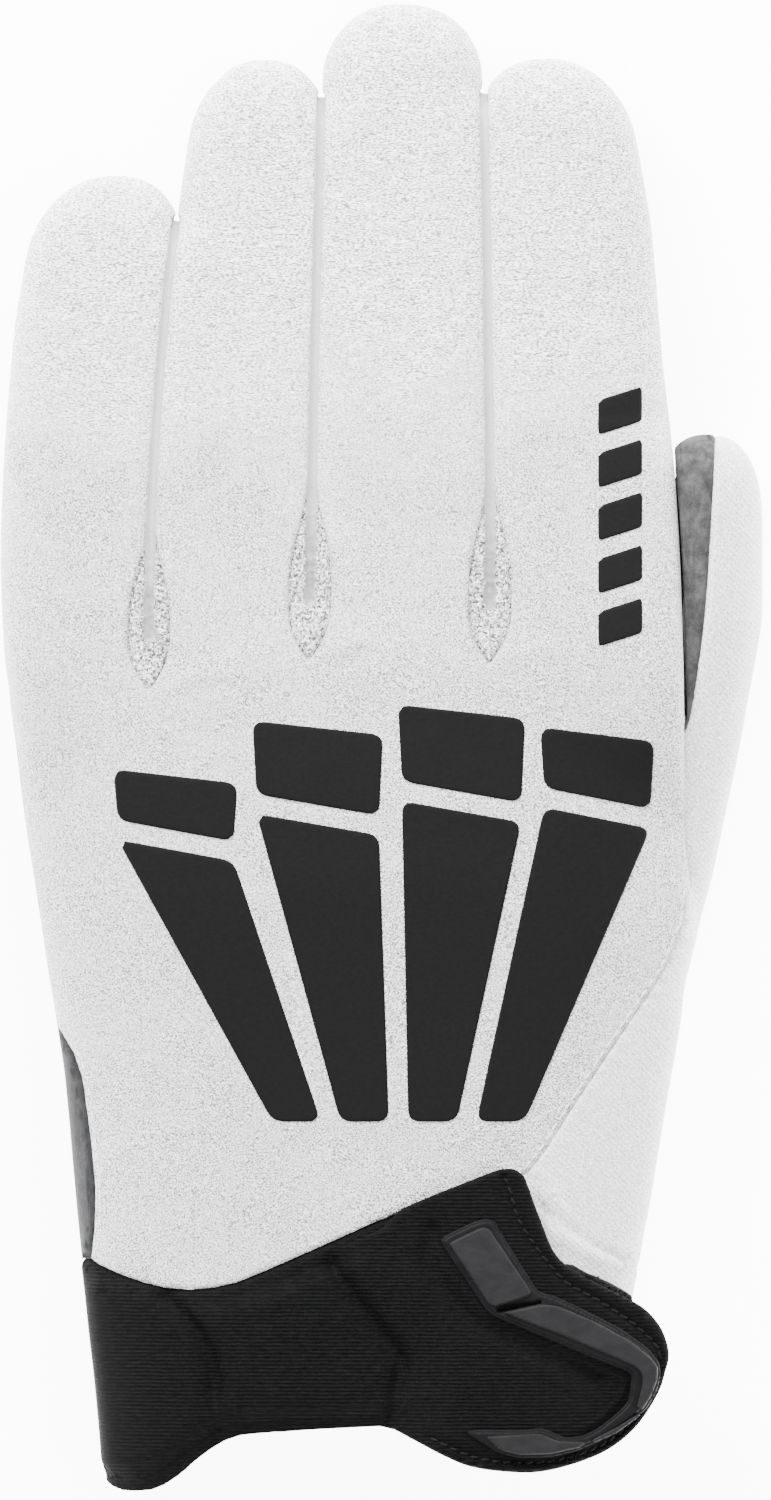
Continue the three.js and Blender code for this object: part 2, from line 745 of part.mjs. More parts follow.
// The skin between the hand and the thumb, down to the palm seam
function thumbRootCut() {
  const skin = handForm(GAP).add(fingerForm(indexFinger, GAP)).subtract(handOutside);
  const aboveLowSeam = box({
    x0: THUMB_ROOT.x,
    x1: BEYOND,
    y0: THUMB_ROOT.y,
    y1: BEYOND,
    z0: LOW_SEAM_Z,
    z1: ROOF,
  });
  const { x, y } = THUMB_BASE_SEAM.at(-1);
  const pastBaseSeam = prism(
    [...THUMB_BASE_SEAM, { x: BEYOND, y }, { x: BEYOND, y: BEYOND }, { x: THUMB_ROOT.x, y: BEYOND }],
    -BEYOND,
    ROOF,
  );
  return skin.intersect(aboveLowSeam.add(pastBaseSeam));
}

const sideSeams = sideSeam(-BEYOND, 0, SIDE_SEAM_FROM.ulnar).add(
  sideSeam(0, BEYOND, SIDE_SEAM_FROM.radial),
);
const [hemEnd] = HEM_OF_BACK.slice(-1);
const cuts = [
  sideSeams.intersect(handWithFingers(GAP / 2)),
  blade(THUMB_SEAM_END, GAP, SEAM_CUT_LOW, ROOF),
  blade(THUMB_SEAM, GAP, SEAM_CUT_LOW, ROOF),
  blade([hemEnd, { x: BAND_END_X, y: -BEYOND }], GAP, SEAM_CUT_LOW, ROOF),
  blade(PALM_WRAP_SEAM, GAP, WRAP_CUT_LOW, ROOF),
  blade(THUMB_TOP_SEAM, GAP, LOW_SEAM_Z - GAP / 2, ROOF).subtract(handOutside),
  blade(THUMB_BASE_SEAM, GAP, -BEYOND, LOW_SEAM_Z + GAP / 2).subtract(handOutside),
  lowSeam([
    { y: -BEYOND, x0: -BEYOND },
    { y: PALM_BAND_Y, x0: -BEYOND },
  ]),
  lowSeam(LOW_SEAM_AT_THUMB),
  box({
    x0: -BEYOND,
    x1: BEYOND,
    y0: PALM_BAND_Y - GAP,
    y1: PALM_BAND_Y,
    z0: -BEYOND,
    z1: LOW_SEAM_Z,
  }),
  thumbRootCut(),
];

const shell = outside.subtract(hollow).intersect(keptByHem);
const fourchettes = FOURCHETTES.map((strip) => largest(shell.intersect(fourchetteZone(strip, 0))));
const withoutStrips = FOURCHETTES.reduce(
  (form, strip) => form.subtract(fourchetteZone(strip, GAP)),
  shell,
);

// The band's zone on the back and round the ulnar edge, above the low seam
function bandZone(grow) {
  const hem = HEM_OF_BACK.map(({ x, y }) => ({ x, y: y + grow }));
  return prism(
    [
      { x: -BEYOND, y: hem[0].y },
      ...hem.slice(0, -1),
      { x: BAND_END_X + grow, y: hem.at(-1).y },
      { x: BAND_END_X + grow, y: -BEYOND },
      { x: -BEYOND, y: -BEYOND },
    ],
    -BEYOND,
    ROOF,
  );
}

const cloth = cuts.reduce((form, cut) => form.subtract(cut), withoutStrips);
const aboveLow = above(LOW_SEAM_Z + GAP / 2);
const bodies = cloth.subtract(bandZone(GAP).intersect(aboveLow)).decompose();

// A shallow groove along a line on the back of the hand
function engrave(piece, points, { width, depth }) {
  const skin = handForm(depth).subtract(handForm(-depth));
  return piece.subtract(skin.intersect(blade(points, width, TOP_ONLY, ROOF)));
}

// The ribbed band with its pads
const padded = handForm(PAD_PROUD).intersect(prism(rounded(PADS, PAD_CORNER), TOP_ONLY, ROOF));
const padsOnly = GROOVES.reduce(
  (form, groove) => form.subtract(blade(groove, PAD_GROOVE, TOP_ONLY, ROOF)),
  padded,
);
const bandWall = handForm(CUFF_PROUD).add(padsOnly).subtract(hollow).intersect(keptByHem);
const cuffBand = largest(bandWall.intersect(bandZone(0)).intersect(aboveLow));
const cuffPalmZone = box({
  x0: -BEYOND,
  x1: BEYOND,
  y0: -BEYOND,
  y1: PALM_BAND_Y - GAP,
  z0: FLOOR,
  z1: LOW_SEAM_Z - GAP / 2,
});
const cuffPalm = largest(bandWall.intersect(cuffPalmZone));

// The height of the back of the wrist, carried on in a straight line past its shoulder
function wristHeight(x, y) {
  const [left, right] = [hand.left(y), hand.right(y)];
  const halfWidth = (right - left) / 2;
  const rise = hand.top(y) - hand.widest(y);
  const height = (u) => (1 - u ** HAND_SHAPE.squareTop) ** (1 / HAND_SHAPE.roundTop);
  const u = Math.abs((x - (left + right) / 2) / halfWidth);
  if (u <= SHOULDER) return hand.widest(y) + rise * height(u);
  const slope = (height(SHOULDER) - height(SHOULDER - SLOPE_STEP)) / SLOPE_STEP;
  return hand.widest(y) + rise * (height(SHOULDER) + slope * (u - SHOULDER));
}

// A sheet that follows the wrist over an outline, between two heights above it
function draped(outline, low, high) {
  const xs = outline.map((p) => p.x);
  const ys = outline.map((p) => p.y);
  const [x0, x1] = [Math.min(...xs) - 1, Math.max(...xs) + 1];
  const [y0, y1] = [Math.min(...ys) - 1, Math.max(...ys) + 1];
  const across = Math.max(2, Math.ceil((x1 - x0) / DRAPE_STEP_ACROSS));
  const along = Math.max(2, Math.ceil((y1 - y0) / DRAPE_STEP_ALONG));
  const points = [];
  const layers = [low, high].map((rise) => {
    const rows = [];
    for (let j = 0; j <= along; j += 1) {
      for (let i = 0; i <= across; i += 1) {
        const x = x0 + ((x1 - x0) * i) / across;
        const y = y0 + ((y1 - y0) * j) / along;
        rows.push(points.length);
        points.push(new THREE.Vector3(x, y, wristHeight(x, y) + rise(x)));
      }
    }
    return (i, j) => rows[j * (across + 1) + i];
  });
  const triangles = [];
  const quad = (a, b, c, d) => triangles.push([a, b, c], [a, c, d]);
  const [under, over] = layers;
  for (let j = 0; j < along; j += 1) {
    for (let i = 0; i < across; i += 1) {
      quad(over(i, j), over(i + 1, j), over(i + 1, j + 1), over(i, j + 1));
      quad(under(i, j), under(i, j + 1), under(i + 1, j + 1), under(i + 1, j));
    }
  }
  for (let i = 0; i < across; i += 1) {
    quad(under(i, 0), under(i + 1, 0), over(i + 1, 0), over(i, 0));
    quad(under(i + 1, along), under(i, along), over(i, along), over(i + 1, along));
  }
  for (let j = 0; j < along; j += 1) {
    quad(under(0, j + 1), under(0, j), over(0, j), over(0, j + 1));
    quad(under(across, j), under(across, j + 1), over(across, j + 1), over(across, j));
  }
  return solid(facingOut(points, triangles)).intersect(prism(outline, -BEYOND, BEYOND));
}

// The strap lifts off the band over its first stretch
function strapUnderside(x) {
  const lift = THREE.MathUtils.smoothstep(x, STRAP_LIFT_FROM_X, STRAP_LIFT_TO_X);
  return CUFF_PROUD + STRAP_SEAT + STRAP_LIFT * lift;
}
const strapTop = (x) => strapUnderside(x) + STRAP_THICK;
const closureStrap = draped(STRAP, strapUnderside, strapTop);
const mouldingUnderside = (x) => strapTop(x) + GAP;
const panelRoot = (x) => mouldingUnderside(x) + MOULDING_PANEL_ROOT;
const panelTop = (x) => mouldingUnderside(x) + MOULDING_RAISED;
const mouldingTop = (x) => mouldingUnderside(x) + MOULDING_BASE;
const gripMoulding = MOULDING_PANELS.reduce(
  (form, panel) => form.add(draped(panel, panelRoot, panelTop)),
  draped(MOULDING, mouldingUnderside, mouldingTop),
);

// A film or patch on the hand or on a finger
function onSurface(form, outline, thickness) {
  const skin = form(GAP + thickness).subtract(form(GAP));
  return largest(skin.intersect(prism(outline, TOP_ONLY, ROOF)));
}

const fastenerPatch = onSurface(handForm, rounded(PATCH, PATCH_CORNER), PATCH_THICK);

function rayOutlines({ wristLeft, wristRight, left, right, top, knuckle }) {
  const ray = [
    { x: wristLeft, y: PRINT_WRIST_Y },
    { x: wristRight, y: PRINT_WRIST_Y },
    { x: right, y: top - PRINT_SLANT },
    { x: left, y: top + PRINT_SLANT / 2 },
  ];
  const block = [
    { x: left, y: top + PRINT_SLANT / 2 + PRINT_SPLIT },
    { x: right, y: top - PRINT_SLANT + PRINT_SPLIT },
    { x: right + PRINT_FLARE, y: knuckle - PRINT_SLANT },
    { x: left - PRINT_FLARE, y: knuckle },
  ];
  return [rounded(ray, PRINT_CORNER), rounded(block, PRINT_CORNER)];
}

const sideBarForm = (offset) => fingerForm(indexFinger, offset).add(handForm(offset));

// Each piece as a named mesh of its own
const glove = new THREE.Group();
glove.name = "riding_glove";

function addPiece(name, form, color, roughness) {
  const { numProp, numVert, vertProperties, triVerts } = form.getMesh();
  const positions = new Float32Array(numVert * 3);
  for (let i = 0; i < numVert; i += 1) {
    for (let k = 0; k < 3; k += 1) positions[3 * i + k] = vertProperties[numProp * i + k];
  }
  const geometry = new THREE.BufferGeometry();
  geometry.setAttribute("position", new THREE.BufferAttribute(positions, 3));
  geometry.setIndex(new THREE.BufferAttribute(new Uint32Array(triVerts), 1));
  geometry.computeVertexNormals();
  const material = new THREE.MeshStandardMaterial({ color, roughness, metalness: 0 });
  const mesh = new THREE.Mesh(geometry, material);
  mesh.name = name;
  glove.add(mesh);
}

const thumbPanel = bodyAt(bodies, { x: 44, y: -40, z: 16 });
addPiece("back_panel", bodyAt(bodies, { x: -5, y: -30, z: 26 }), WHITE_KNIT, 0.85);
addPiece("thumb_panel", engrave(thumbPanel, FOLD_LINE, FOLD), WHITE_STRETCH, 0.75);
addPiece("thumb_inner", bodyAt(bodies, { x: 54, y: 20, z: 0 }), GREY_SUEDE, 0.95);
addPiece("palm_panel", bodyAt(bodies, { x: 0, y: -30, z: 0 }), DARK_SUEDE, 0.95);
FOURCHETTES.forEach(({ name }, i) => addPiece(name, fourchettes[i], WHITE_KNIT, 0.9));
addPiece("cuff_band", cuffBand, BLACK_KNIT, 0.9);
addPiece("cuff_palm", cuffPalm, BLACK_KNIT, 0.9);
addPiece("closure_strap", closureStrap, BLACK_KNIT, 0.9);
addPiece("grip_moulding", gripMoulding, GREY_RUBBER, 0.5);
addPiece("fastener_patch", fastenerPatch, BLACK_TAPE, 0.95);
PRINT_RAYS.forEach((ray, i) => {
  const [lower, upper] = rayOutlines(ray);
  const knuckleBar = onSurface(handWithFingers, upper, PRINT_THICK);
  addPiece(`print_ray_${i + 1}`, onSurface(handForm, lower, PRINT_THICK), BLACK_PRINT, 0.6);
  addPiece(`print_knuckle_${i + 1}`, knuckleBar, BLACK_PRINT, 0.6);
});
for (let i = 0; i < SIDE_BARS.count; i += 1) {
  const y = SIDE_BARS.first + i * SIDE_BARS.pitch;
  const outline = [
    { x: SIDE_BARS.left, y },
    { x: SIDE_BARS.right, y: y + SIDE_BARS.slant },
    { x: SIDE_BARS.right, y: y + SIDE_BARS.slant + SIDE_BARS.length },
    { x: SIDE_BARS.left, y: y + SIDE_BARS.length },
  ];
  addPiece(`side_bar_${i + 1}`, onSurface(sideBarForm, outline, PRINT_THICK), BLACK_PRINT, 0.6);
}

export default glove;
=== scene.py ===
import math

import bpy
import numpy as np
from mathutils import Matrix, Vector


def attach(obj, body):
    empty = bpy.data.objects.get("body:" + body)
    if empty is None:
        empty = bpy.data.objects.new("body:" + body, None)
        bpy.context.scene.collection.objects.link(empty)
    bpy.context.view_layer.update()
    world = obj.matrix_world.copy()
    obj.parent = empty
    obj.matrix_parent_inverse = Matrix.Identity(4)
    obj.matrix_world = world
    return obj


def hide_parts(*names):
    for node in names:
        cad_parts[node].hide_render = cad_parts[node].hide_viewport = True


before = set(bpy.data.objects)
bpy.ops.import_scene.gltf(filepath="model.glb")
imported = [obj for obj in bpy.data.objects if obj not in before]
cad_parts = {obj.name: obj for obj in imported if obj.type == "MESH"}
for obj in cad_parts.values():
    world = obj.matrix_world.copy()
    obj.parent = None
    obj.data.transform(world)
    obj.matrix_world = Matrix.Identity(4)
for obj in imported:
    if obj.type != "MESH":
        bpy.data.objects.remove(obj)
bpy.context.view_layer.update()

MM = 0.001
FAR = 130.0
FINGER_SLIT = 0.12
SLIT_ROUNDING = 1.2
FINGER_PRESS = 1.6
THUMB_CLEARANCE = 0.3
LOW_SEAM_Z = 4.0
PALM_SINK = 1.5
CROTCH_Y = 6.0
HAND_CAP = 14.0
THUMB_CAP_FROM = 35.0
THUMB_CAP = 13.5
THUMB_ROOT_Y = -46.0
CAP_ROUNDNESS = 2.3
CLOTH = 1.1
STRIP = 0.8
FOLD_OVERLAP = -0.5
LATTICE_REACH = 62.5


def table(columns, *rows):
    return {name: np.array(values, float) for name, values in zip(columns.split(), zip(*rows))}


def records(columns, *rows):
    return [dict(zip(columns.split(), row)) for row in rows]


# The hand from the wrist to the knuckles
HAND = table(
    "y left right widest top",
    (-122, -42.5, 32.2, 12.5, 25.5),
    (-100, -44.4, 36.1, 12.5, 27),
    (-80, -46.6, 39.7, 12.5, 27),
    (-55, -48.8, 44.1, 12.5, 26.5),
    (-40, -50.9, 46.7, 12.5, 26.5),
    (-25, -53.3, 48.3, 13, 26.5),
    (-10, -55.6, 47.4, 13.5, 26),
    (6, -57.6, 46.8, 13.8, 24.9),
)
# The two outer edges of the fingers and the middle of each slit
LINES = table(
    "y ulnar slit1 slit2 slit3 radial",
    (-12, -54.4, -36.4, -11.6, 16.6, 46.8),
    (6, -57.6, -36.3, -11.5, 16.6, 46.8),
    (16, -58.9, -36.2, -11.4, 16.6, 46.6),
    (30, -59.3, -36, -11.1, 16.7, 46.1),
    (46, -58.8, -35.3, -10.8, 16.6, 45),
    (61, -57.6, -34.2, -10.5, 16.4, 43.5),
    (77, -55.2, -32.6, -10.1, 16.2, 42.2),
    (92, -52.3, -30.6, -9.7, 15.9, 39.8),
    (116, -48, -27, -9.2, 15.4, 34),
)
# The fingers seen from the side
FINGER_SIDE = table(
    "y widest top bottom",
    (-12, 13.4, 18, 0),
    (0, 13.7, 22.3, 0.2),
    (12, 13.8, 23.8, 0.4),
    (36, 12.5, 21.4, 1.6),
    (66, 11, 18.7, 2.2),
    (90, 9.5, 16.9, 1.5),
    (116, 8.2, 15.4, 0.5),
)
# Each finger's two sides are pressed flat, by a neighbour or the thumb, as far up as these heights
FINGERS = records(
    "from to tip cap full press",
    ("ulnar", "slit1", 88.6, 14.4, 0.9, (-30, FAR)),
    ("slit1", "slit2", 106.7, 14.2, 0.97, (83, FAR)),
    ("slit2", "slit3", 115.2, 12.7, 1, (102, 103)),
    ("slit3", "radial", 106.7, 13, 0.97, (FAR, 52)),
)
THUMB = table(
    "y x z narrow long lean",
    (-46, 31.5, 8.4, 10, 8.2, 0),
    (-25, 37.8, 8.5, 12.2, 8.3, 0),
    (-9, 43.4, 8.5, 10.3, 8.5, 4),
    (7, 48.55, 9, 8.15, 9.2, 12),
    (22, 51.5, 9.8, 7.2, 10, 19),
    (35, 50.95, 9.8, 7.75, 10, 20),
)
HAND_SHAPE = (3, 2, 5, 3)
FINGER_SHAPE = (3, 2.2, 3, 2.4)

# Seams seen from above
HEM_OF_BACK = [
    (-46.9, -79), (-44.2, -80.2), (-41.3, -81.5), (-37.6, -82.8), (-33.9, -83.7), (-30.1, -84),
    (-26.4, -83.7), (-22.7, -82.9), (-19, -81.4), (-15.3, -79.8), (-11.5, -78.1), (-7.8, -76.5),
    (-4.1, -74.8), (-0.4, -73.2), (3.3, -71.9), (8.9, -69.6),
]
THUMB_SEAM = [
    (8.9, -69.6), (22.4, -66), (25.2, -62.5), (29.1, -56.3), (35.3, -47), (38.8, -41.9), (42.2, -37),
    (44.3, -33.4), (46.6, -27.7), (47.5, -22.2), (48, -19.5),
]
PALM_WRAP_SEAM = [
    (-75, -15), (-52.2, -41.3), (-50, -44.4), (-48.1, -47.4), (-46.7, -51.4), (-46, -56.3), (-45.2, -62.5),
    (-44.7, -68.7), (-44.8, -74.2), (-45.4, -79.4),
]
THUMB_TOP_SEAM = [
    (52.2, 60), (51.7, 48.4), (51.4, 41.3), (50.9, 33.6), (50.3, 24.3), (49.4, 15.7), (48.4, 8.8),
    (47.7, 4.7), (46.5, 1), (42, -8), (30, -20),
]
THUMB_BASE_SEAM = [(30, 6), (37, 4), (44, -1), (49, -6), (56, -12), (75, -21)]
WRIST_HEM = [
    (-FAR, -113), (-43.8, -113), (-43.1, -113.9), (-42.2, -114.6), (-40.6, -115.2), (-38.6, -115.3),
    (-36.2, -115.1), (-34, -114.2), (-31.8, -112.7), (-29.2, -110.5), (-26.8, -108.7), (-24.4, -107.3),
    (-22, -106.5), (-19, -106.2), (-10.3, -105.6), (-0.4, -105.1), (2.3, -105.8), (12, -104.2),
    (FAR, -103.2),
]
BAND_END_X = 8.9
PALM_BAND_Y = -79.4

# The soft V-shaped ends of the strips between the fingers: the tip of the V, where the fold in it
# begins, where its arms start and end to fade into the slit, and where the strip ends
CROTCH_HALF = 3.05
CROTCH_RISE = 7.4
CROTCHES = records(
    "name slit tip fold fade end",
    ("little_ring", "slit1", 8.8, 16.3, (20, 35), 81.8),
    ("ring_middle", "slit2", 13.6, 22, (26, 42), 101),
    ("middle_index", "slit3", 13, 21.3, (25.5, 41.5), 101.7),
)

# Folds and creases on the outside: half width, depth (below zero it stands up) and points
CREASES = [
    (0.55, 0.75, [(25.2, -71.2), (27, -73.2), (30, -75.3), (33.5, -77.5), (37, -79.4), (39.5, -80.5)]),
    (1.3, -0.6, [(25.6, -73.4), (28.4, -76), (32, -78.4), (36, -80.4)]),
    (0.5, 0.9, [(22.6, -66.5), (24, -70), (26.8, -74.6)]),
    (0.7, -0.7, [(24.2, -65.2), (26.2, -69), (28.6, -72.4)]),
    (0.6, 0.8, [(21, -64.6), (17.6, -61)]),
    (1.2, -0.35, [(-34.4, 8.4), (-29, 10.8), (-24, 12.2)]),
    (1.1, 0.22, [(-34, 7), (-29, 8.8), (-22, 9.6)]),
    (1.1, -0.35, [(-9.4, 13.6), (-5.5, 15.6), (-1.5, 16.8)]),
    (1.1, 0.22, [(-9.6, 12), (-5, 13.6), (0, 14)]),
    (1.1, -0.3, [(18.6, 13), (21.6, 14.4), (25, 15.2)]),
    (1.3, 0.25, [(-38.4, 8), (-43, 7.4), (-49, 8.6)]),
    (1.4, 0.3, [(49.5, -24), (52.5, -16), (54.5, -6)]),
    (1.6, 0.3, [(46.2, -40), (49.2, -31)]),
]
PALM_CREASES = [
    (1.2, 0.5, [(-50, 2), (-36, 6), (-20, 6.5), (-2, 5)]),
    (1.2, 0.5, [(8, 6), (24, 3), (40, -6)]),
    (1.4, 0.45, [(-40, -14), (-20, -10), (6, -12), (24, -20)]),
    (1.5, 0.5, [(20, -4), (10, -18), (8, -36), (14, -54)]),
]


def curve(at, value):
    """A smooth curve through these values that never overshoots, straight past its ends."""
    slope = np.diff(value) / np.diff(at)
    before, after = slope[:-1], slope[1:]
    turning = before * after <= 0
    inner = np.where(turning, 0, 2 * before * after / np.where(turning, 1, before + after))
    tangent = np.concatenate([slope[:1], inner, slope[-1:]])

    def at_y(y):
        y = np.asarray(y, float)
        i = np.clip(np.searchsorted(at, y, side="right") - 1, 0, len(at) - 2)
        step = at[i + 1] - at[i]
        t = np.clip((y - at[i]) / step, 0, 1)
        t2 = t * t
        t3 = t2 * t
        inside = (
            (2 * t3 - 3 * t2 + 1) * value[i]
            + (t3 - 2 * t2 + t) * step * tangent[i]
            + (3 * t2 - 2 * t3) * value[i + 1]
            + (t3 - t2) * step * tangent[i + 1]
        )
        past = np.minimum(y - at[0], 0) * slope[0] + np.maximum(y - at[-1], 0) * slope[-1]
        return inside + past

    return at_y


def curves(source):
    return {name: curve(source["y"], source[name]) for name in source if name != "y"}


hand, line, finger, thumb = (curves(source) for source in (HAND, LINES, FINGER_SIDE, THUMB))


def ramp(value, start, end):
    """Rises smoothly from 0 at start to 1 at end."""
    t = np.clip((value - start) / (end - start), 0, 1)
    return t * t * (3 - 2 * t)


def bell(distance, half):
    """Falls from 1 to near 0 within twice this half width."""
    return np.exp(-((distance / half) ** 2))


def soft_min(a, b, k):
    h = np.maximum(k - np.abs(a - b), 0) / k
    return np.minimum(a, b) - h * h * k / 4


def noise(x, y, z, size, seed):
    """Smooth noise from -1 to 1 with features of this size."""
    p = np.stack([x, y, z]) / size + 500
    i = np.floor(p).astype(np.int64)
    f = p - i
    f = f * f * (3 - 2 * f)
    total = 0
    for corner in range(8):
        o = [(corner >> k) & 1 for k in range(3)]
        h = (i[0] + o[0]) * 73856093 ^ (i[1] + o[1]) * 19349663 ^ (i[2] + o[2]) * 83492791
        h = (h + seed * 7919) & 0xFFFFFFFF
        h = ((h ^ (h >> 13)) * 1274126177) & 0xFFFFFFFF
        value = ((h ^ (h >> 16)) & 0xFFFF) / 32767.5 - 1
        total = total + value * math.prod(f[k] if o[k] else 1 - f[k] for k in range(3))
    return total


def line_distance(points, x, y):
    """Distance to an open line seen from above, and how far along it the nearest point is."""
    best = np.full(np.shape(x), 1e9)
    along = np.zeros(np.shape(x))
    run = 0.0
    for (ax, ay), (bx, by) in zip(points, points[1:]):
        dx, dy = bx - ax, by - ay
        length = math.hypot(dx, dy)
        t = np.clip(((x - ax) * dx + (y - ay) * dy) / length**2, 0, 1)
        d = np.hypot(x - ax - t * dx, y - ay - t * dy)
        nearer = d < best
        best = np.where(nearer, d, best)
        along = np.where(nearer, run + t * length, along)
        run += length
    return best, along / run


def inside_distance(points, x, y):
    """Distance to a closed outline, above zero inside it."""
    best = np.full(np.shape(x), 1e9)
    inside = np.zeros(np.shape(x), bool)
    for (ax, ay), (bx, by) in zip(points, points[1:] + points[:1]):
        dx, dy = bx - ax, by - ay
        t = np.clip(((x - ax) * dx + (y - ay) * dy) / (dx * dx + dy * dy), 0, 1)
        best = np.minimum(best, np.hypot(x - ax - t * dx, y - ay - t * dy))
        if dy != 0:
            inside ^= ((ay > y) != (by > y)) & (x < ax + (y - ay) * dx / dy)
    return np.where(inside, best, -best)


def within(outline, v):
    return inside_distance(outline, v[:, 0], v[:, 1])


def smooth_line(points, step=0.8, closed=False):
    """The points of a rounded line through these ones."""
    p = np.array(points, float)
    if closed:
        p = np.vstack([p[-1:], p, p[:2]])
    else:
        p = np.vstack([2 * p[0] - p[1], p, 2 * p[-1] - p[-2]])
    out = []
    for a, b, c, d in zip(p, p[1:], p[2:], p[3:]):
        count = max(1, int(np.hypot(*(c - b)) / step))
        for t in np.arange(count) / count:
            out.append(
                0.5 * (2 * b + (c - a) * t + (2 * a - 5 * b + 4 * c - d) * t**2)
                + 0.5 * (3 * b - a - 3 * c + d) * t**3
            )
    if not closed:
        out.append(p[-2])
    return [tuple(q) for q in out]


# The solid forms, as distances that are below zero inside
def gauge(a, b, p, q):
    """The scale at which (a, b) lies on the oval a^p + b^q = 1, and how it grows with a and b."""
    s = np.maximum(np.maximum(a, b), 1e-3)
    for _ in range(2):
        in_a, in_b = (a / s) ** p, (b / s) ** q
        both = np.maximum(in_a + in_b, 1e-6)
        s = np.maximum(s * both ** (both / np.maximum(p * in_a + q * in_b, 1e-6)), 1e-3)
    u = p * (a / s) ** (p - 1)
    v = q * (b / s) ** (q - 1)
    total = np.maximum(a / s * u + b / s * v, 1e-6)
    return s, u / total, v / total


def capped(s, across, v, cap):
    """The distance to a tube with this gauge, rounded off where v runs from 0 to 1."""
    n = CAP_ROUNDNESS
    g = (s**n + v**n) ** (1 / n)
    slope = np.hypot((s / g) ** (n - 1) * across, (v / g) ** (n - 1) / cap)
    return (g - 1) / slope


def tube(x, y, z, section, shape, cap_from, cap, flat=0.0):
    """An oval tube with a rounded end; flat makes it squarer, its top the most."""
    left, right, widest, top, bottom = section
    half = (right - left) / 2
    up = z >= widest
    height = np.where(up, top - widest, widest - bottom)
    p = np.where(up, shape[0] + flat, shape[2] + 0.4 * flat).astype(float)
    q = np.where(up, shape[1], shape[3]).astype(float)
    s, ds_a, ds_b = gauge(np.abs(x - (left + right) / 2) / half, np.abs(z - widest) / height, p, q)
    v = np.maximum((y - cap_from) / cap, 0)
    return capped(s, np.hypot(ds_a / half, ds_b / height), v, cap)


def hand_form(x, y, z):
    section = (hand["left"](y), hand["right"](y), hand["widest"](y), hand["top"](y), -PALM_SINK)
    later = ramp(x, -32, -16) * (1 - ramp(x, 28, 42))
    return tube(x, y, z, section, HAND_SHAPE, CROTCH_Y + 4.5 * later, HAND_CAP)


def finger_form(spec, x, y, z, gap):
    left = line[spec["from"]](y) + (0 if spec["from"] == "ulnar" else gap / 2)
    right = line[spec["to"]](y) - (0 if spec["to"] == "radial" else gap / 2)
    near = (x > left - 8) & (x < right + 8) & (y > -20)
    out = np.full(np.shape(x), 20.0)
    x, y, z, left, right = (v[near] for v in (x, y, z, left, right))
    widest = finger["widest"](y)
    top = widest + (finger["top"](y) - widest) * spec["full"]
    press = [1 - ramp(y, end - 9, end) for end in spec["press"]]
    wide = (left - FINGER_PRESS * press[0], right + FINGER_PRESS * press[1])
    section = (*wide, widest, top, finger["bottom"](y))
    flat = 5 * np.where(x < (left + right) / 2, press[0], press[1])
    d = tube(x, y, z, section, FINGER_SHAPE, spec["tip"] - spec["cap"], spec["cap"], flat)
    rounding = 0.3 + (SLIT_ROUNDING - 0.3) * ramp(z, widest + 0.5, widest + 4)
    d = -soft_min(-d, x - left, rounding)
    out[near] = -soft_min(-d, right - x, rounding)
    return out


def thumb_form(x, y, z):
    row = {name: f(y) for name, f in thumb.items()}
    lean = np.radians(row["lean"])
    dx, dz = x - row["x"], z - row["z"]
    a = (dx * np.cos(lean) + dz * np.sin(lean)) / row["narrow"]
    b = (dz * np.cos(lean) - dx * np.sin(lean)) / row["long"]
    s = np.maximum(np.hypot(a, b), 1e-3)
    across = np.hypot(a / s / row["narrow"], b / s / row["long"])
    v = np.maximum((y - THUMB_CAP_FROM) / THUMB_CAP, (THUMB_ROOT_Y - y) / 20)
    return capped(s, across, np.maximum(v, 0), THUMB_CAP)


def relief(x, y, z):
    """How far the cloth on the back stands out: soft fill, folds and puckers."""
    out = 0.17 * noise(x, y, z, 17, 1) + 0.08 * noise(x, y, z, 7, 2)
    upper = z > 8
    for half, deep, points in CREASES:
        d, along = line_distance(points, x, y)
        fade = np.sin(np.pi * np.clip(0.12 + 0.76 * along, 0, 1))
        out = out - deep * fade * bell(d, half) * upper
    # The fingers' cloth is drawn into faint rings
    rings = np.sin(y * 2.05 + 2.2 * noise(x, y, z, 9, 3)) * np.clip(noise(x, y, z, 13, 4), 0, 1)
    out = out + 0.1 * rings * ramp(y, 14, 30)
    # Puckers along the thumb seam
    d, along = line_distance(THUMB_SEAM[1:], x, y)
    pucker = np.sin(along * 110 + 2 * noise(x, y, z, 6, 5))
    out = out + 0.12 * pucker * bell(d, 2.6) * upper
    # Nothing closes the slits between the fingers
    for name in ("slit1", "slit2", "slit3"):
        away = ramp(np.abs(x - line[name](y)), 0.1, 1.8)
        out = out * (1 - ramp(y, 4, 12) * (1 - away))
    return out


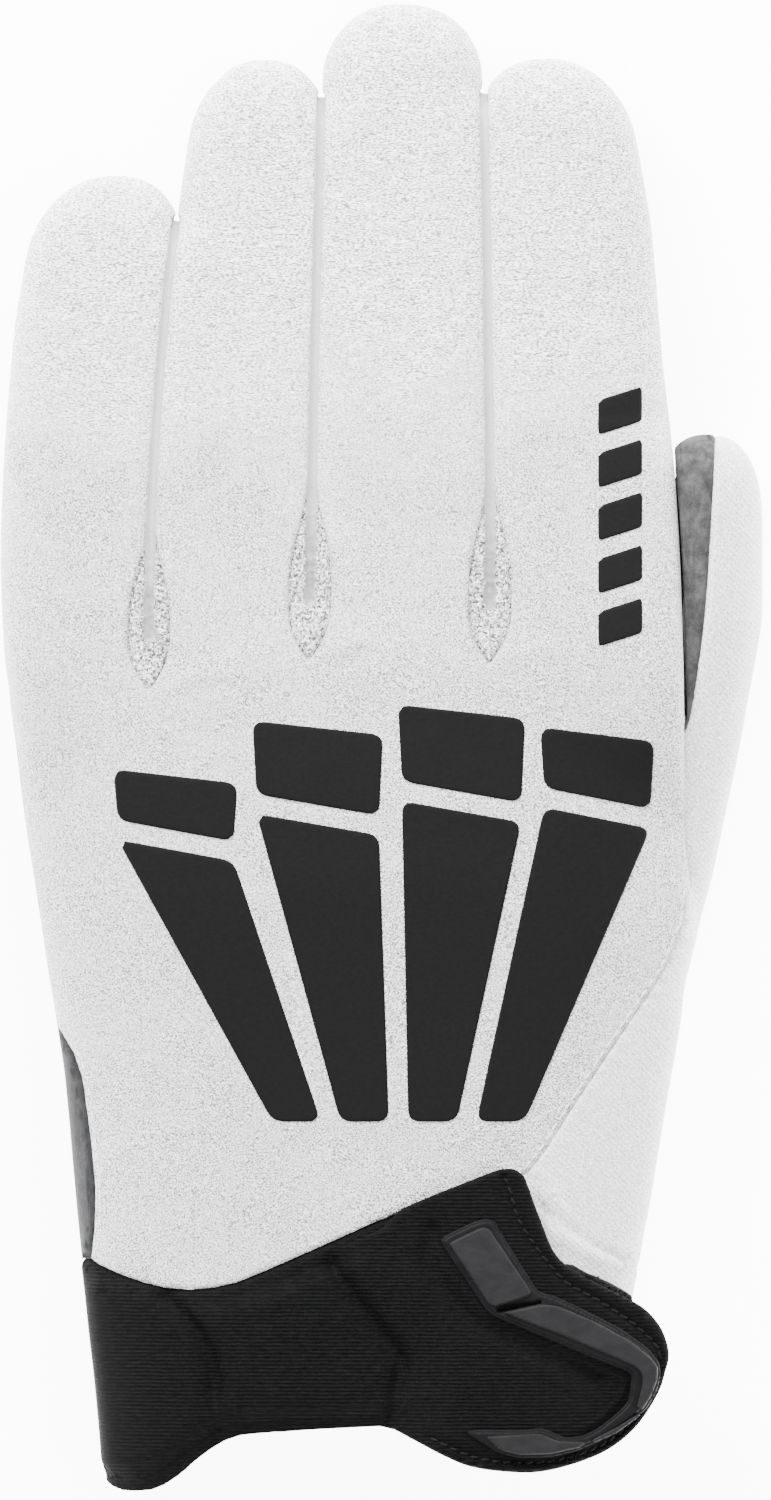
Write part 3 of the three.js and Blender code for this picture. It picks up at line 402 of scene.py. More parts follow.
def forms(x, y, z, detail=True, gap=FINGER_SLIT):
    """The whole outside, then the hand with its fingers and the thumb on their own."""
    fingers = finger_form(FINGERS[0], x, y, z, gap)
    for spec in FINGERS[1:]:
        other = finger_form(spec, x, y, z, gap)
        fingers = np.minimum(fingers, other) if gap > 0 else soft_min(fingers, other, 0.7)
    palm = soft_min(hand_form(x, y, z), fingers, 0.5 + 2.0 * ramp(z, 14, 20))
    own = thumb_form(x, y, z)
    free = ramp(y, -2, 5)
    own = np.maximum(own, free * THUMB_CLEARANCE - 6 * (1 - free) - palm)
    blend = np.maximum(1 - ramp(y, -34, -19), (1 - ramp(z, 5, 9)) * (1 - ramp(y, -4, 4)))
    whole = soft_min(palm, own, 0.3 + 3.2 * blend)
    if detail:
        whole = whole - relief(x, y, z)
    whole = -soft_min(-whole, z, 0.8)
    if detail:
        low = z < 3
        sunk = 0
        for half, deep, points in PALM_CREASES:
            sunk = sunk + deep * bell(line_distance(points, x[low], y[low])[0], half)
        whole[low] += sunk + 0.12 * (1 + noise(x[low], y[low], z[low], 11, 6))
    return whole, palm, own


def gradient(p, gap=FINGER_SLIT, step=0.06):
    out = np.empty_like(p)
    for k in range(3):
        a, b = p.copy(), p.copy()
        a[:, k] += step
        b[:, k] -= step
        out[:, k] = (forms(*a.T, gap=gap)[0] - forms(*b.T, gap=gap)[0]) / (2 * step)
    return out


def unit(v):
    return v / np.maximum(np.linalg.norm(v, axis=1, keepdims=True), 1e-9)


def settle(p, rounds=3, gap=FINGER_SLIT):
    """Moves points onto the outside surface."""
    for _ in range(rounds):
        g = gradient(p, gap)
        d = forms(*p.T, gap=gap)[0]
        p = p - np.clip(d / np.maximum((g * g).sum(axis=1), 0.2), -1.2, 1.2)[:, None] * g
    return p


def top_height(x, y):
    """The height of the outside surface over points seen from above."""
    z = np.full(np.shape(x), 33.0)
    for _ in range(26):
        z = z - 0.8 * forms(x, y, z)[0]
    return z


# A mesh of the outside: one vertex for each lattice cell that the surface crosses
def surface_net(x, y, z, f):
    """x is (nx, ny), y and z are plain, and f is the distance at each lattice point."""
    nx, ny, nz = f.shape
    inside = f < 0
    corners = list(np.ndindex(2, 2, 2))
    count = np.zeros((nx - 1, ny - 1, nz - 1), np.int8)
    for i, j, k in corners:
        count += inside[i : nx - 1 + i, j : ny - 1 + j, k : nz - 1 + k]
    cells = np.argwhere((count > 0) & (count < 8))
    number = np.full(count.shape, -1, np.int64)
    number[tuple(cells.T)] = np.arange(len(cells))
    total = np.zeros((len(cells), 3))
    hits = np.zeros(len(cells))
    for a in corners:
        for b in corners:
            if sum(b) != sum(a) + 1 or any(q < p for p, q in zip(a, b)):
                continue
            ends = [tuple((cells + corner).T) for corner in (a, b)]
            fa, fb = (f[end] for end in ends)
            cross = (fa < 0) != (fb < 0)
            t = np.where(cross, fa / np.where(cross, fa - fb, 1), 0)[:, None]
            pa, pb = (np.column_stack([x[i, j], y[j], z[k]]) for i, j, k in ends)
            total += np.where(cross[:, None], pa + t * (pb - pa), 0)
            hits += cross
    quads = []
    for axis in range(3):
        u, v = (k for k in range(3) if k != axis)
        edge = np.argwhere(np.diff(inside, axis=axis))
        for k in (u, v):
            edge = edge[(edge[:, k] > 0) & (edge[:, k] < f.shape[k] - 1)]
        ring = []
        for du, dv in ((-1, -1), (0, -1), (0, 0), (-1, 0)):
            cell = edge.copy()
            cell[:, u] += du
            cell[:, v] += dv
            ring.append(number[tuple(cell.T)])
        quad = np.column_stack(ring)
        flip = inside[tuple(edge.T)] ^ (axis == 1)
        quads.append(np.where(flip[:, None], quad, quad[:, ::-1]))
    return total / hits[:, None], np.vstack(quads)


def lattice_columns(y, fine, coarse):
    """Lattice lines that follow the slits and the thumb's cleft, close together beside them."""
    near = np.concatenate([np.arange(0, 1.2, fine), np.arange(1.2, 3.3, 2.1 * fine)])
    near = np.unique(np.concatenate([-near, near]))
    anchors = [line[name](np.maximum(y, -12)) for name in ("slit1", "slit2", "slit3", "radial")]
    edges = [0 * y - LATTICE_REACH, *anchors, 0 * y + LATTICE_REACH]
    columns = []
    last = len(anchors)
    for i, (a, b) in enumerate(zip(edges, edges[1:])):
        start = a + (near[-1] if i else 0)
        stop = b - (near[-1] if i < last else 0)
        count = max(2, int(round(np.mean(stop - start) / coarse)))
        columns += [start + (stop - start) * t for t in (np.arange(count) + 0.5) / count]
        if i < last:
            columns += [b + away for away in near]
    columns = np.array(columns)
    even = np.linspace(-LATTICE_REACH, LATTICE_REACH, len(columns))[:, None]
    return even + (columns - even) * ramp(y, -34, -14)


def lattice_points(x, y, z):
    """All the lattice's points, and its size."""
    size = (*x.shape, len(z))
    return np.array([np.broadcast_to(v, size).ravel() for v in (x[:, :, None], y[:, None], z)]), size


def outside_mesh():
    coarse = 1.0
    y = np.arange(-118.5, 118.2, coarse)
    z = np.arange(-1.6, 30.5, coarse)
    x = lattice_columns(y, 0.22, coarse)
    points, size = lattice_points(x, y, z)
    f = [forms(*part, detail=False)[0] for part in np.array_split(points, 12, axis=1)]
    verts, quads = surface_net(x, y, z, np.concatenate(f).reshape(size))
    return settle(verts), quads


# Cutting meshes along lines where a value is zero
class Cloth:
    """A mesh under work: points, and faces of four and of three corners."""

    def __init__(self, verts, quads, tris=np.empty((0, 3), np.int64)):
        self.verts = verts
        self.quads = quads
        self.tris = tris

    def compact(self):
        used = np.unique(np.concatenate([self.quads.ravel(), self.tris.ravel()]))
        number = np.full(len(self.verts), -1, np.int64)
        number[used] = np.arange(len(used))
        return Cloth(self.verts[used], number[self.quads], number[self.tris])

    def split(self, value, keep_low=False, snap=0.06):
        """Cuts along value = 0 and keeps the side above it, or both sides."""
        value = np.where(np.abs(value) < snap, 0, value)
        above = value >= 0
        count = above[self.quads].sum(axis=1)
        mixed = (count > 0) & (count < 4)
        quads, cut = self.quads[~mixed], self.quads[mixed]
        tris = np.vstack([self.tris, cut[:, [0, 1, 2]], cut[:, [0, 2, 3]]])
        count = above[tris].sum(axis=1)
        mixed = (count > 0) & (count < 3)
        tris, cut = tris[~mixed], tris[mixed]
        side = above[cut]
        lone = np.where(side.sum(axis=1, keepdims=True) == 1, side, ~side).argmax(axis=1)
        a, b, c = (cut[np.arange(len(cut)), (lone + k) % 3] for k in range(3))
        pairs = np.sort(np.vstack([np.column_stack([a, b]), np.column_stack([a, c])]), axis=1)
        unique, index = np.unique(pairs, axis=0, return_inverse=True)
        first, second = unique.T
        t = (value[first] / (value[first] - value[second]))[:, None]
        verts = np.vstack([self.verts, self.verts[first] * (1 - t) + self.verts[second] * t])
        ab, ac = len(self.verts) + index.reshape(2, -1)
        tris = np.vstack([tris, np.column_stack([a, ab, ac])])
        quads = np.vstack([quads, np.column_stack([ab, b, c, ac])])
        if not keep_low:
            above = np.concatenate([above, np.ones(len(unique), bool)])
            tris, quads = (faces[above[faces].all(axis=1)] for faces in (tris, quads))
        # A face squeezed to a line by the cut is left out
        thin = (tris == np.roll(tris, 1, axis=1)).any(axis=1)
        return Cloth(verts, quads, tris[~thin]).compact()

    def border(self):
        """Edges that only one face uses, in the direction of that face."""
        rings = (self.quads, self.tris)
        edges = np.vstack(
            [np.column_stack([a, b]) for ring in rings for a, b in zip(ring.T, np.roll(ring, -1, axis=1).T)]
        )
        key = edges.min(axis=1) * len(self.verts) + edges.max(axis=1)
        _, first, count = np.unique(key, return_index=True, return_counts=True)
        return edges[first[count == 1]]


def panel(source, field, levels=(0.35, 0.9)):
    """The part of a mesh where the field is above zero, with finer rows along its edge."""
    part = source.split(field(source.verts))
    for level in levels:
        part = part.split(field(part.verts) - level, keep_low=True)
    return part


def rolled(part, field, depth=0.55, width=0.9):
    """Turns the edge of a panel in, as cloth does at a seam."""
    f = np.clip(field(part.verts) / width, 0, 1)
    deeper = 0.9 * ramp(crotches(part.verts), -1.0, -0.2)
    down = (depth + deeper) * (1 - np.sqrt(1 - (1 - f) ** 2))
    part.verts = part.verts - down[:, None] * unit(gradient(part.verts))
    return part


# Materials
def fill(inputs, values):
    for key, value in values.items():
        inputs[key].default_value = value


class Nodes:
    """Short ways to add the nodes of one material."""

    def __init__(self, name, colour):
        self.material = bpy.data.materials.new(name)
        self.material.use_nodes = True
        self.tree = self.material.node_tree
        self.shader = self.tree.nodes["Principled BSDF"]
        self.colour = colour
        self.mm = self.vector("SCALE", self.add("TexCoord", ())["Object"], 1 / MM)

    def put(self, node, key, value):
        if isinstance(value, bpy.types.NodeSocket):
            self.tree.links.new(value, node.inputs[key])
        else:
            node.inputs[key].default_value = value

    def add(self, kind, keys, *values, **settings):
        """A node: keys are its inputs' numbers, or their names with commas between."""
        node = self.tree.nodes.new("ShaderNode" + kind)
        for key, value in settings.items():
            setattr(node, key, value)
        for key, value in zip(keys.split(",") if isinstance(keys, str) else keys, values):
            self.put(node, key, value)
        return node.outputs

    def vector(self, operation, a, b):
        return self.add("VectorMath", (0, 3 if operation == "SCALE" else 1), a, b, operation=operation)[0]

    def math(self, operation, a, b=0, c=0):
        return self.add("Math", (0, 1, 2), a, b, c, operation=operation)[0]

    def stretched(self, x, y, z):
        return self.vector("MULTIPLY", self.mm, (x, y, z))

    def turned(self, angle, along, across):
        """Stretched after a turn seen from above."""
        turned = self.add("Mapping", "Vector,Rotation", self.mm, (0, 0, angle), vector_type="POINT")[0]
        return self.vector("MULTIPLY", turned, (along, across, 1))

    def mix(self, a, b, t):
        """From a to b as t runs from 0 to 1."""
        return self.math("MULTIPLY_ADD", self.math("SUBTRACT", b, a), t, a)

    def noise(self, where, scale, detail=2, rough=0.5, distort=0):
        keys = "Vector,Scale,Detail,Roughness,Distortion"
        return self.add("TexNoise", keys, where, scale, detail, rough, distort)["Fac"]

    def ramp(self, value, low, high, from_low=0, from_high=1):
        keys = "Value,From Min,From Max,To Min,To Max"
        return self.add("MapRange", keys, value, from_low, from_high, low, high)["Result"]

    def wave(self, where, pitch, distort=0, direction="Y", detail=1, detail_scale=1):
        keys = "Vector,Scale,Distortion,Detail,Detail Scale"
        values = (where, math.pi / (10 * pitch), distort, detail, detail_scale)
        return self.add("TexWave", keys, *values, wave_type="BANDS", bands_direction=direction)["Fac"]

    def shade(self, *factors):
        """The material's colour, times each of these factors in turn."""
        total = factors[0]
        for factor in factors[1:]:
            total = self.math("MULTIPLY", total, factor)
        self.put(self.shader, "Base Color", self.vector("SCALE", self.colour, total))

    def bump(self, *layers):
        """Layers of (height from 0 to 1, height in millimetres)."""
        below = []
        for height, size in layers:
            keys = "Height,Distance,Strength,Normal"
            below = [self.add("Bump", keys, height, size * MM, 1, *below)["Normal"]]
        self.put(self.shader, "Normal", below[0])

    def finish(self, rough, sheen=0, sheen_rough=0.5, specular=0.5):
        values = {"Sheen Weight": sheen, "Sheen Roughness": sheen_rough, "Specular IOR Level": specular}
        fill(self.shader.inputs, values)
        self.put(self.shader, "Roughness", rough)


def white_knit(n):
    grain = n.noise(n.stretched(1, 1.3, 1), 2.1, 1)
    falling = n.noise(n.turned(0.8, 0.75, 1.1), 4.6, 0)
    rising = n.noise(n.turned(-0.8, 0.75, 1.1), 4.6, 0)
    level = n.noise(n.stretched(0.55, 1.2, 1), 4.2, 0)
    threads = n.noise(n.stretched(0.3, 2.6, 1), 1, 2, 0.6)
    patches = n.ramp(n.noise(n.mm, 0.06), 0, 1, 0.44, 0.58)
    height = n.add("SeparateXYZ", "Vector", n.mm)["Y"]
    tips = n.ramp(n.math("MULTIPLY_ADD", n.noise(n.mm, 0.05), 60, height), 0, 1, 70, 95)
    weave = n.mix(n.mix(falling, rising, patches), level, tips)
    n.shade(
        n.ramp(grain, 0.86, 1.06, 0.3, 0.7),
        n.ramp(weave, 0.26, 1.32, 0.28, 0.66),
        # Painted light: the knit is painted lighter towards the fingertips, where more light falls on them
        n.ramp(tips, 0.82, 1.06),
        n.math("MULTIPLY_ADD", n.math("MULTIPLY", n.ramp(threads, -1, 1, 0.3, 0.7), tips), -0.2, 1),
    )
    n.bump((weave, 0.2), (threads, 0.1), (grain, 0.06))
    n.finish(0.9, sheen=0.05)


def white_stretch(n):
    grain = n.noise(n.stretched(1.2, 1, 1), 2.4, 1)
    specks = n.noise(n.mm, 4, 1)
    twill = n.wave(n.stretched(1, 1, 0), 0.5, 1.2, "DIAGONAL", 2, 2)
    n.shade(
        n.ramp(grain, 0.8, 1.12, 0.3, 0.7),
        n.ramp(specks, 0.5, 1.2, 0.28, 0.68),
        n.ramp(twill, 0.94, 1.04),
    )
    n.bump((twill, 0.04), (grain, 0.1))
    n.finish(0.85, sheen=0.05)


# The smooth cloth in the fold, painted mid grey and much darker than the white knit: painted shade for the
# hollow between the fingers
def fold_painted_shade(n):
    grain = n.noise(n.mm, 2.6, 1)
    n.shade(n.ramp(grain, 0.9, 1.1, 0.3, 0.7))
    n.bump((grain, 0.05))
    n.finish(0.9)


def white_terry(n):
    loops = n.noise(n.mm, 2.3, 0.5, 0.5, 0.8)
    fuzz = n.noise(n.mm, 3.8, 1)
    n.shade(n.ramp(loops, 0.12, 1.65, 0.32, 0.66), n.ramp(fuzz, 0.4, 1.4, 0.3, 0.68))
    n.bump((loops, 0.6), (fuzz, 0.2))
    n.finish(0.95, sheen=0.1)


def suede(n, contrast):
    nap = n.noise(n.mm, 0.55, 5, 0.68, 0.3)
    strokes = n.noise(n.stretched(0.5, 0.16, 0.5), 0.8, 4, 0.6, 1.2)
    fuzz = n.noise(n.mm, 3.2, 2, 0.6)
    n.shade(
        n.ramp(nap, 1 - contrast, 1 + contrast, 0.34, 0.66),
        n.ramp(strokes, 1 - 0.7 * contrast, 1 + 0.7 * contrast, 0.36, 0.64),
        n.ramp(fuzz, 0.85, 1.12, 0.3, 0.7),
    )
    n.bump((nap, 0.1), (fuzz, 0.09))
    n.finish(0.95, sheen=0.12, sheen_rough=0.4, specular=0.1)


def ribbed(n):
    bent = n.vector("ADD", n.mm, n.vector("SCALE", n.stretched(0, 0, 1), 0.35))
    rib = n.wave(bent, 0.58, 1.1, "Y", 2, 0.5)
    stitch = n.noise(n.stretched(0.8, 3.2, 0.8), 1, 2, 0.6)
    grain = n.noise(n.mm, 2.3, 3, 0.65)
    lint = n.ramp(n.noise(n.stretched(1, 1.4, 1), 3.4, 2, 0.6), 0, 1, 0.66, 0.8)
    n.shade(
        n.ramp(rib, 0.84, 1.14),
        n.ramp(stitch, 0.65, 1.4, 0.3, 0.7),
        n.ramp(grain, 0.75, 1.3, 0.3, 0.7),
        n.ramp(n.noise(n.mm, 0.06, 3), 0.85, 1.2),
        n.math("MULTIPLY_ADD", lint, 1.6, 1),
    )
    n.bump((rib, 0.12), (stitch, 0.08), (grain, 0.05))
    n.finish(0.85, specular=0.04)


def rubber(n):
    grain = n.noise(n.mm, 3, 3, 0.6)
    scuff = n.noise(n.stretched(0.3, 0.5, 0.3), 0.8, 4, 0.65, 0.8)
    n.shade(n.ramp(scuff, 0.85, 1.2, 0.35, 0.65), n.ramp(grain, 0.93, 1.07, 0.3, 0.7))
    n.bump((grain, 0.02), (scuff, 0.02))
    n.finish(n.ramp(scuff, 0.5, 0.62, 0.35, 0.65), specular=0.05)


def print_film(n):
    grain = n.noise(n.stretched(1, 1.25, 1), 1.5, 3, 0.62)
    n.shade(n.ramp(grain, 0.85, 1.15, 0.3, 0.7))
    n.bump((grain, 0.03))
    n.finish(0.7, specular=0.06)


def tape(n):
    hooks = n.add("TexVoronoi", "Vector,Scale", n.mm, 1.5, feature="F1")["Distance"]
    fuzz = n.noise(n.mm, 2.6, 3, 0.7)
    n.shade(n.ramp(hooks, 1.5, 0.6, 0.1, 0.7), n.ramp(fuzz, 0.6, 1.5, 0.3, 0.7))
    n.bump((n.ramp(hooks, 1, 0, 0, 0.8), 0.3), (fuzz, 0.15))
    n.finish(0.9, sheen=0.04, specular=0.05)


def thread(n, specular):
    twist = n.wave(n.mm, 0.3, 0.4, "DIAGONAL")
    n.shade(n.ramp(twist, 0.8, 1.15))
    n.bump((twist, 0.03))
    n.finish(0.65, specular=specular)


# Each material's nodes, its colour, and what else its nodes take
LOOKS = {
    "white_knit": (white_knit, (0.85, 0.85, 0.86)),
    "white_stretch": (white_stretch, (0.87, 0.87, 0.88)),
    "white_terry": (white_terry, (0.68, 0.68, 0.69)),
    # Painted shade: the fold's white cloth painted grey
    "fold_painted_shade": (fold_painted_shade, (0.46, 0.46, 0.467)),
    "grey_suede": (suede, (0.054, 0.054, 0.055), 0.36),
    # The thumb's grey suede painted darker for the palm and the wrap at the side: painted shade
    "dark_suede": (suede, (0.03, 0.0302, 0.0315), 0.28),
    "black_knit": (ribbed, (0.004, 0.004, 0.0043)),
    "grey_rubber": (rubber, (0.0148, 0.0148, 0.0157)),
    # The tab's rim is the same rubber as its raised faces, painted darker: painted shade
    "rubber_painted_shade": (rubber, (0.0068, 0.0068, 0.0074)),
    "black_tape": (tape, (0.005, 0.005, 0.0054)),
    "black_print": (print_film, (0.0056, 0.0056, 0.0059)),
    "white_thread": (thread, (0.82, 0.82, 0.82), 0.2),
    "black_thread": (thread, (0.0062, 0.0062, 0.0066), 0.12),
}
MATERIALS = {}
for name, (draw, colour, *more) in LOOKS.items():
    nodes = Nodes(name, colour)
    draw(nodes, *more)
    MATERIALS[name] = nodes.material


# Pieces
def placed(name, data, at=(0, 0, 0)):
    thing = bpy.data.objects.new(name, data)
    thing.location = at
    bpy.context.scene.collection.objects.link(thing)
    return thing


def make(name, verts, faces, material, node=None):
    """A piece from points in millimetres and lists of faces, which may replace a CAD node."""
    mesh = bpy.data.meshes.new(name)
    mesh.from_pydata((verts * MM).tolist(), [], faces)
    mesh.validate()
    mesh.polygons.foreach_set("use_smooth", [True] * len(mesh.polygons))
    mesh.materials.append(MATERIALS[material])
    mesh.update()
    piece = placed(name, mesh)
    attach(piece, "root")
    if node:
        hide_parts(node)
    return piece


def shell(name, part, top, under, material, node):
    """A closed piece: the faces over these points, the same turned round under them, and walls."""
    count = len(top)
    faces = part.quads.tolist() + part.tris.tolist()
    faces += (part.quads[:, ::-1] + count).tolist() + (part.tris[:, ::-1] + count).tolist()
    faces += [(b, a, a + count, b + count) for a, b in part.border().tolist()]
    return make(name, np.vstack([top, under]), faces, material, node)


def cloth_piece(name, part, material, node, normals=None, thickness=CLOTH):
    """A panel with its thickness, which lies to the inside of the form."""
    if normals is None:
        normals = unit(gradient(part.verts))
    return shell(name, part, part.verts, part.verts - normals * thickness, material, node)


# Where each panel lies, above zero inside it
BACK_PLAN = PALM_WRAP_SEAM + HEM_OF_BACK[1:] + THUMB_SEAM[1:] + [(75, -19.5), (75, FAR), (-75, FAR)]
WRAP_PLAN = PALM_WRAP_SEAM + [(-75, -80)]
THUMB_SIDE_PLAN = THUMB_SEAM + [(75, -19.5), (75, -FAR), (BAND_END_X, -FAR)]
THUMB_TOP_PLAN = THUMB_TOP_SEAM + [(-75, -75), (-75, -FAR), (75, -FAR), (75, 60)]
THUMB_BASE_PLAN = THUMB_BASE_SEAM + [(75, -FAR), (-75, -FAR), (-75, 6)]
TUCK = 0.8
BAND_PLAN = [(-75, -78.6)] + [(x, y + TUCK) for x, y in HEM_OF_BACK] + [(BAND_END_X, -FAR), (-75, -FAR)]
KEPT_BY_HEM = WRIST_HEM + [(FAR, FAR), (-FAR, FAR)]


def lowest(*fields):
    return np.minimum.reduce(fields)


def seam_height(x, y):
    full = np.where(y < 0, hand["widest"](y), finger["widest"](y))
    low = LOW_SEAM_Z + (full - LOW_SEAM_Z) * ramp(y, -24, -18)
    return np.where(x > 0, low, full)


def crotch_field(spec, x, y, z):
    """Above zero where the strip between two fingers lies."""
    middle = line[spec["slit"]](y)
    rise = np.sin(np.pi / 2 * np.clip((y - spec["tip"]) / CROTCH_RISE, 0, 1))
    narrow = ramp(y, *spec["fade"])
    half = CROTCH_HALF * rise * (1 - narrow) + 0.12 * narrow
    bottom = finger["widest"](y) - 3.5 - 5.5 * (1 - narrow)
    return lowest(half - np.abs(x - middle), z - bottom, spec["end"] - y, y - spec["tip"])


def crotches(v):
    return np.maximum.reduce([crotch_field(spec, *v.T) for spec in CROTCHES])


def thumb_side(v):
    """Above zero where the thumb, not the hand, is the outside."""
    _, palm, own = forms(*v.T, detail=False)
    return palm - own


def beside_cleft(v, side):
    """Above zero on the thumb's side (1) or the hand's (-1) of the cleft, whose bottom is cut away."""
    return side * thumb_side(v) - 0.35 * ramp(v[:, 1], 3, 8)


def back_seams(v):
    x, y, z = v.T
    side = np.where((x > 0) & (y < -19), FAR, z - seam_height(x, y))
    side = np.where((x < 0) & (y < -44), FAR, side)
    edge = np.where((y > -19.5) & (y < 4), -thumb_side(v), FAR)
    return lowest(side, within(BACK_PLAN, v), edge, -crotches(v), z - 8)


def back_field(v):
    return np.minimum(back_seams(v), np.where(v[:, 1] > -19.5, beside_cleft(v, -1), FAR))


def palm_seams(v):
    x, y, z = v.T
    low = np.maximum(seam_height(x, y) - z, within(WRAP_PLAN, v))
    base = np.minimum(within(THUMB_BASE_PLAN, v), LOW_SEAM_Z - z)
    return lowest(low, np.maximum(beside_cleft(v, -1), base), -crotches(v))


def palm_field(v):
    return np.minimum(palm_seams(v), v[:, 1] - PALM_BAND_Y)


def thumb_panel_field(v):
    side = np.maximum(beside_cleft(v, 1), within(THUMB_SIDE_PLAN, v))
    return lowest(v[:, 2] - LOW_SEAM_Z, side, within(THUMB_TOP_PLAN, v), within(KEPT_BY_HEM, v))


def thumb_inner_seams(v):
    under = np.minimum(LOW_SEAM_Z - v[:, 2], -within(THUMB_BASE_PLAN, v))
    return np.maximum(-within(THUMB_TOP_PLAN, v), under)


def thumb_inner_field(v):
    return np.minimum(beside_cleft(v, 1), thumb_inner_seams(v))


def band_field(v):
    return lowest(v[:, 2] - LOW_SEAM_Z, within(BAND_PLAN, v), within(KEPT_BY_HEM, v))


def band_palm_field(v):
    return lowest(LOW_SEAM_Z - v[:, 2], PALM_BAND_Y - v[:, 1], within(KEPT_BY_HEM, v))


outside = Cloth(*outside_mesh())

back = rolled(panel(outside, back_field), back_seams, 0.4, 0.8)
cloth_piece("back_cloth", back, "white_knit", "back_panel")
# The palm and its wrap take the darker copy of the grey suede, painted shade
cloth_piece("palm_suede", rolled(panel(outside, palm_field), palm_seams), "dark_suede", "palm_panel")
side = panel(outside, thumb_panel_field)
for _, _, points in CREASES[:4]:
    for away in (0.25, 0.8, 1.5):
        side = side.split(away - line_distance(points, *side.verts.T[:2])[0], keep_low=True)
side.verts = settle(side.verts, 2)
cloth_piece("thumb_cloth", rolled(side, thumb_panel_field), "white_stretch", "thumb_panel")
inner = rolled(panel(outside, thumb_inner_field), thumb_inner_seams)
cloth_piece("thumb_suede", inner, "grey_suede", "thumb_inner")
band_palm = rolled(panel(outside, band_palm_field), band_palm_field)
cloth_piece("wrist_band_palm", band_palm, "black_knit", "cuff_palm")


# The strips between the fingers, from a finer mesh of their own
def strip_part(spec, y, fine, gap, keep):
    """A stretch of a strip; with a gap below zero its two sides meet in a soft fold."""
    z = np.arange(0.5, 27, fine)
    outer = np.arange(1.4, 4.3, fine)
    offsets = np.concatenate([np.arange(-4.2, -1.2, fine), np.arange(-1.2, 1.21, 0.2), outer])
    x = line[spec["slit"]](y)[None, :] + offsets[:, None]
    points, size = lattice_points(x, y, z)
    verts, quads = surface_net(x, y, z, forms(*points, detail=False, gap=gap)[0].reshape(size))
    verts = settle(verts, gap=gap)
    part = Cloth(verts, quads).split(np.minimum(crotch_field(spec, *verts.T) + 0.3, keep(verts)))
    return part, unit(gradient(part.verts, gap))


def strip(spec):
    start, stop = spec["fade"]
    end = spec["end"]
    fine = 0.3
    rows = np.concatenate([np.arange(spec["tip"] - 1.5, stop, fine), np.arange(stop, end + 1.5, 0.8)])
    fold, fold_normals = strip_part(spec, rows, fine, FOLD_OVERLAP, lambda v: end - v[:, 1])
    x, y, z = fold.verts.T
    upper = z > finger["widest"](y)
    narrow = ramp(y, start, stop)
    # Loops in the open part, sunk along the seam
    loops = noise(x, y, z, 0.8, 11) + 0.9 * noise(x, y, z, 0.45, 12)
    sunk = 0.35 + 0.9 * bell(crotch_field(spec, x, y, z), 0.36)
    move = (0.24 * loops - sunk) * (1 - narrow) - 0.5 * narrow
    fold.verts = fold.verts + fold_normals * move[:, None]
    # A flat-bottomed fold that runs on into the slit
    away = np.abs(x - line[spec["slit"]](y))
    wide = 0.56 - 0.16 * ramp(y, spec["fold"], stop)
    deep = 1.5 * ramp(y, spec["fold"] - 0.8, spec["fold"] + 0.8) * (1 - 0.85 * narrow)
    deep = deep * np.exp(-((away / wide) ** 4)) + 1.5 * ramp(y, end - 4, end)
    fold.verts[:, 2] -= deep * upper
    smooth = np.maximum(np.minimum(0.95 * wide - away, y - spec["fold"]), y - stop + 3.5)
    bottom, loops = fold.split(smooth), fold.split(-smooth)
    normals, loop_normals = (unit(gradient(part.verts, FOLD_OVERLAP)) for part in (bottom, loops))
    # The fold's bottom takes the grey cloth, painted shade in the slit
    cloth_piece("strip_fold_" + spec["name"], bottom, "fold_painted_shade", None, normals, STRIP)
    lanes = np.arange(stop - 1.5, end + 1.5, 1.0)
    walls, wall_normals = strip_part(
        spec, lanes, 1.0, FINGER_SLIT,
        lambda v: np.minimum(v[:, 1] - stop, finger["widest"](v[:, 1]) + 3.5 - v[:, 2]),
    )
    walls.verts = walls.verts - 0.4 * wall_normals
    count = len(loops.verts)
    both = Cloth(
        np.vstack([loops.verts, walls.verts]),
        np.vstack([loops.quads, walls.quads + count]),
        np.vstack([loops.tris, walls.tris + count]),
    )
    normals = np.vstack([loop_normals, wall_normals])
    cloth_piece("strip_" + spec["name"], both, "white_terry", "fourchette_" + spec["name"], normals, STRIP)


for crotch in CROTCHES:
    strip(crotch)

# The ribbed band over the wrist, with its pads
GROOVES = [
    smooth_line([
        (-33.7, -85.3), (-30.1, -88.6), (-27.5, -92.3), (-26.3, -95.6), (-25.8, -99.6),
        (-25.7, -110),
    ]),
    smooth_line([
        (-7.7, -80.4), (-5, -84.4), (-1, -89.7), (1.9, -93.5), (2.9, -95.6), (2.2, -99.6),
        (1.6, -106),
    ]),
]
PADS = [
    (-60, -81), (-41.5, -82.6), (-28.3, -86.2), (-22.6, -85.6), (-9.2, -80.8), (-2, -77.1), (12, -79),
    (12, -102.8), (-22.4, -104), (-27, -105.9), (-33, -110.6), (-38, -112.6), (-60, -112.6),
]


def pad_rise(x, y):
    """The pads and the grooves between them."""
    out = 1.25 * ramp(inside_distance(PADS, x, y), -1.2, 2.4)
    for groove in GROOVES:
        out = out - 1.6 * bell(line_distance(groove, x, y)[0], 1.4) * (1 - 0.7 * ramp(-y, 98, 105))
    return out


def band_rise(v):
    x, y, z = v.T
    out = -0.35 + 0.6 * ramp(band_field(v), 0.4, 2.2)
    out -= 0.45 * (1 - ramp(within(BAND_PLAN, v), 0.6, 1.6))
    out += pad_rise(x, y) * ramp(z, 13, 19)
    return out - 0.22 * bell(within(KEPT_BY_HEM, v) - 1.8, 0.3)


band = panel(outside, band_field, (0.35, 0.9, 1.4, 2.0))
for groove in GROOVES:
    for away in (0.5, 1.4, 2.4):
        band = band.split(away - line_distance(groove, *band.verts.T[:2])[0], keep_low=True)
for inset in (-0.5, 0.5, 1.5):
    band = band.split(within(PADS, band.verts) - inset, keep_low=True)
band.verts = band.verts + unit(gradient(band.verts)) * band_rise(band.verts)[:, None]
wrist_band = cloth_piece("wrist_band", band, "black_knit", "cuff_band")


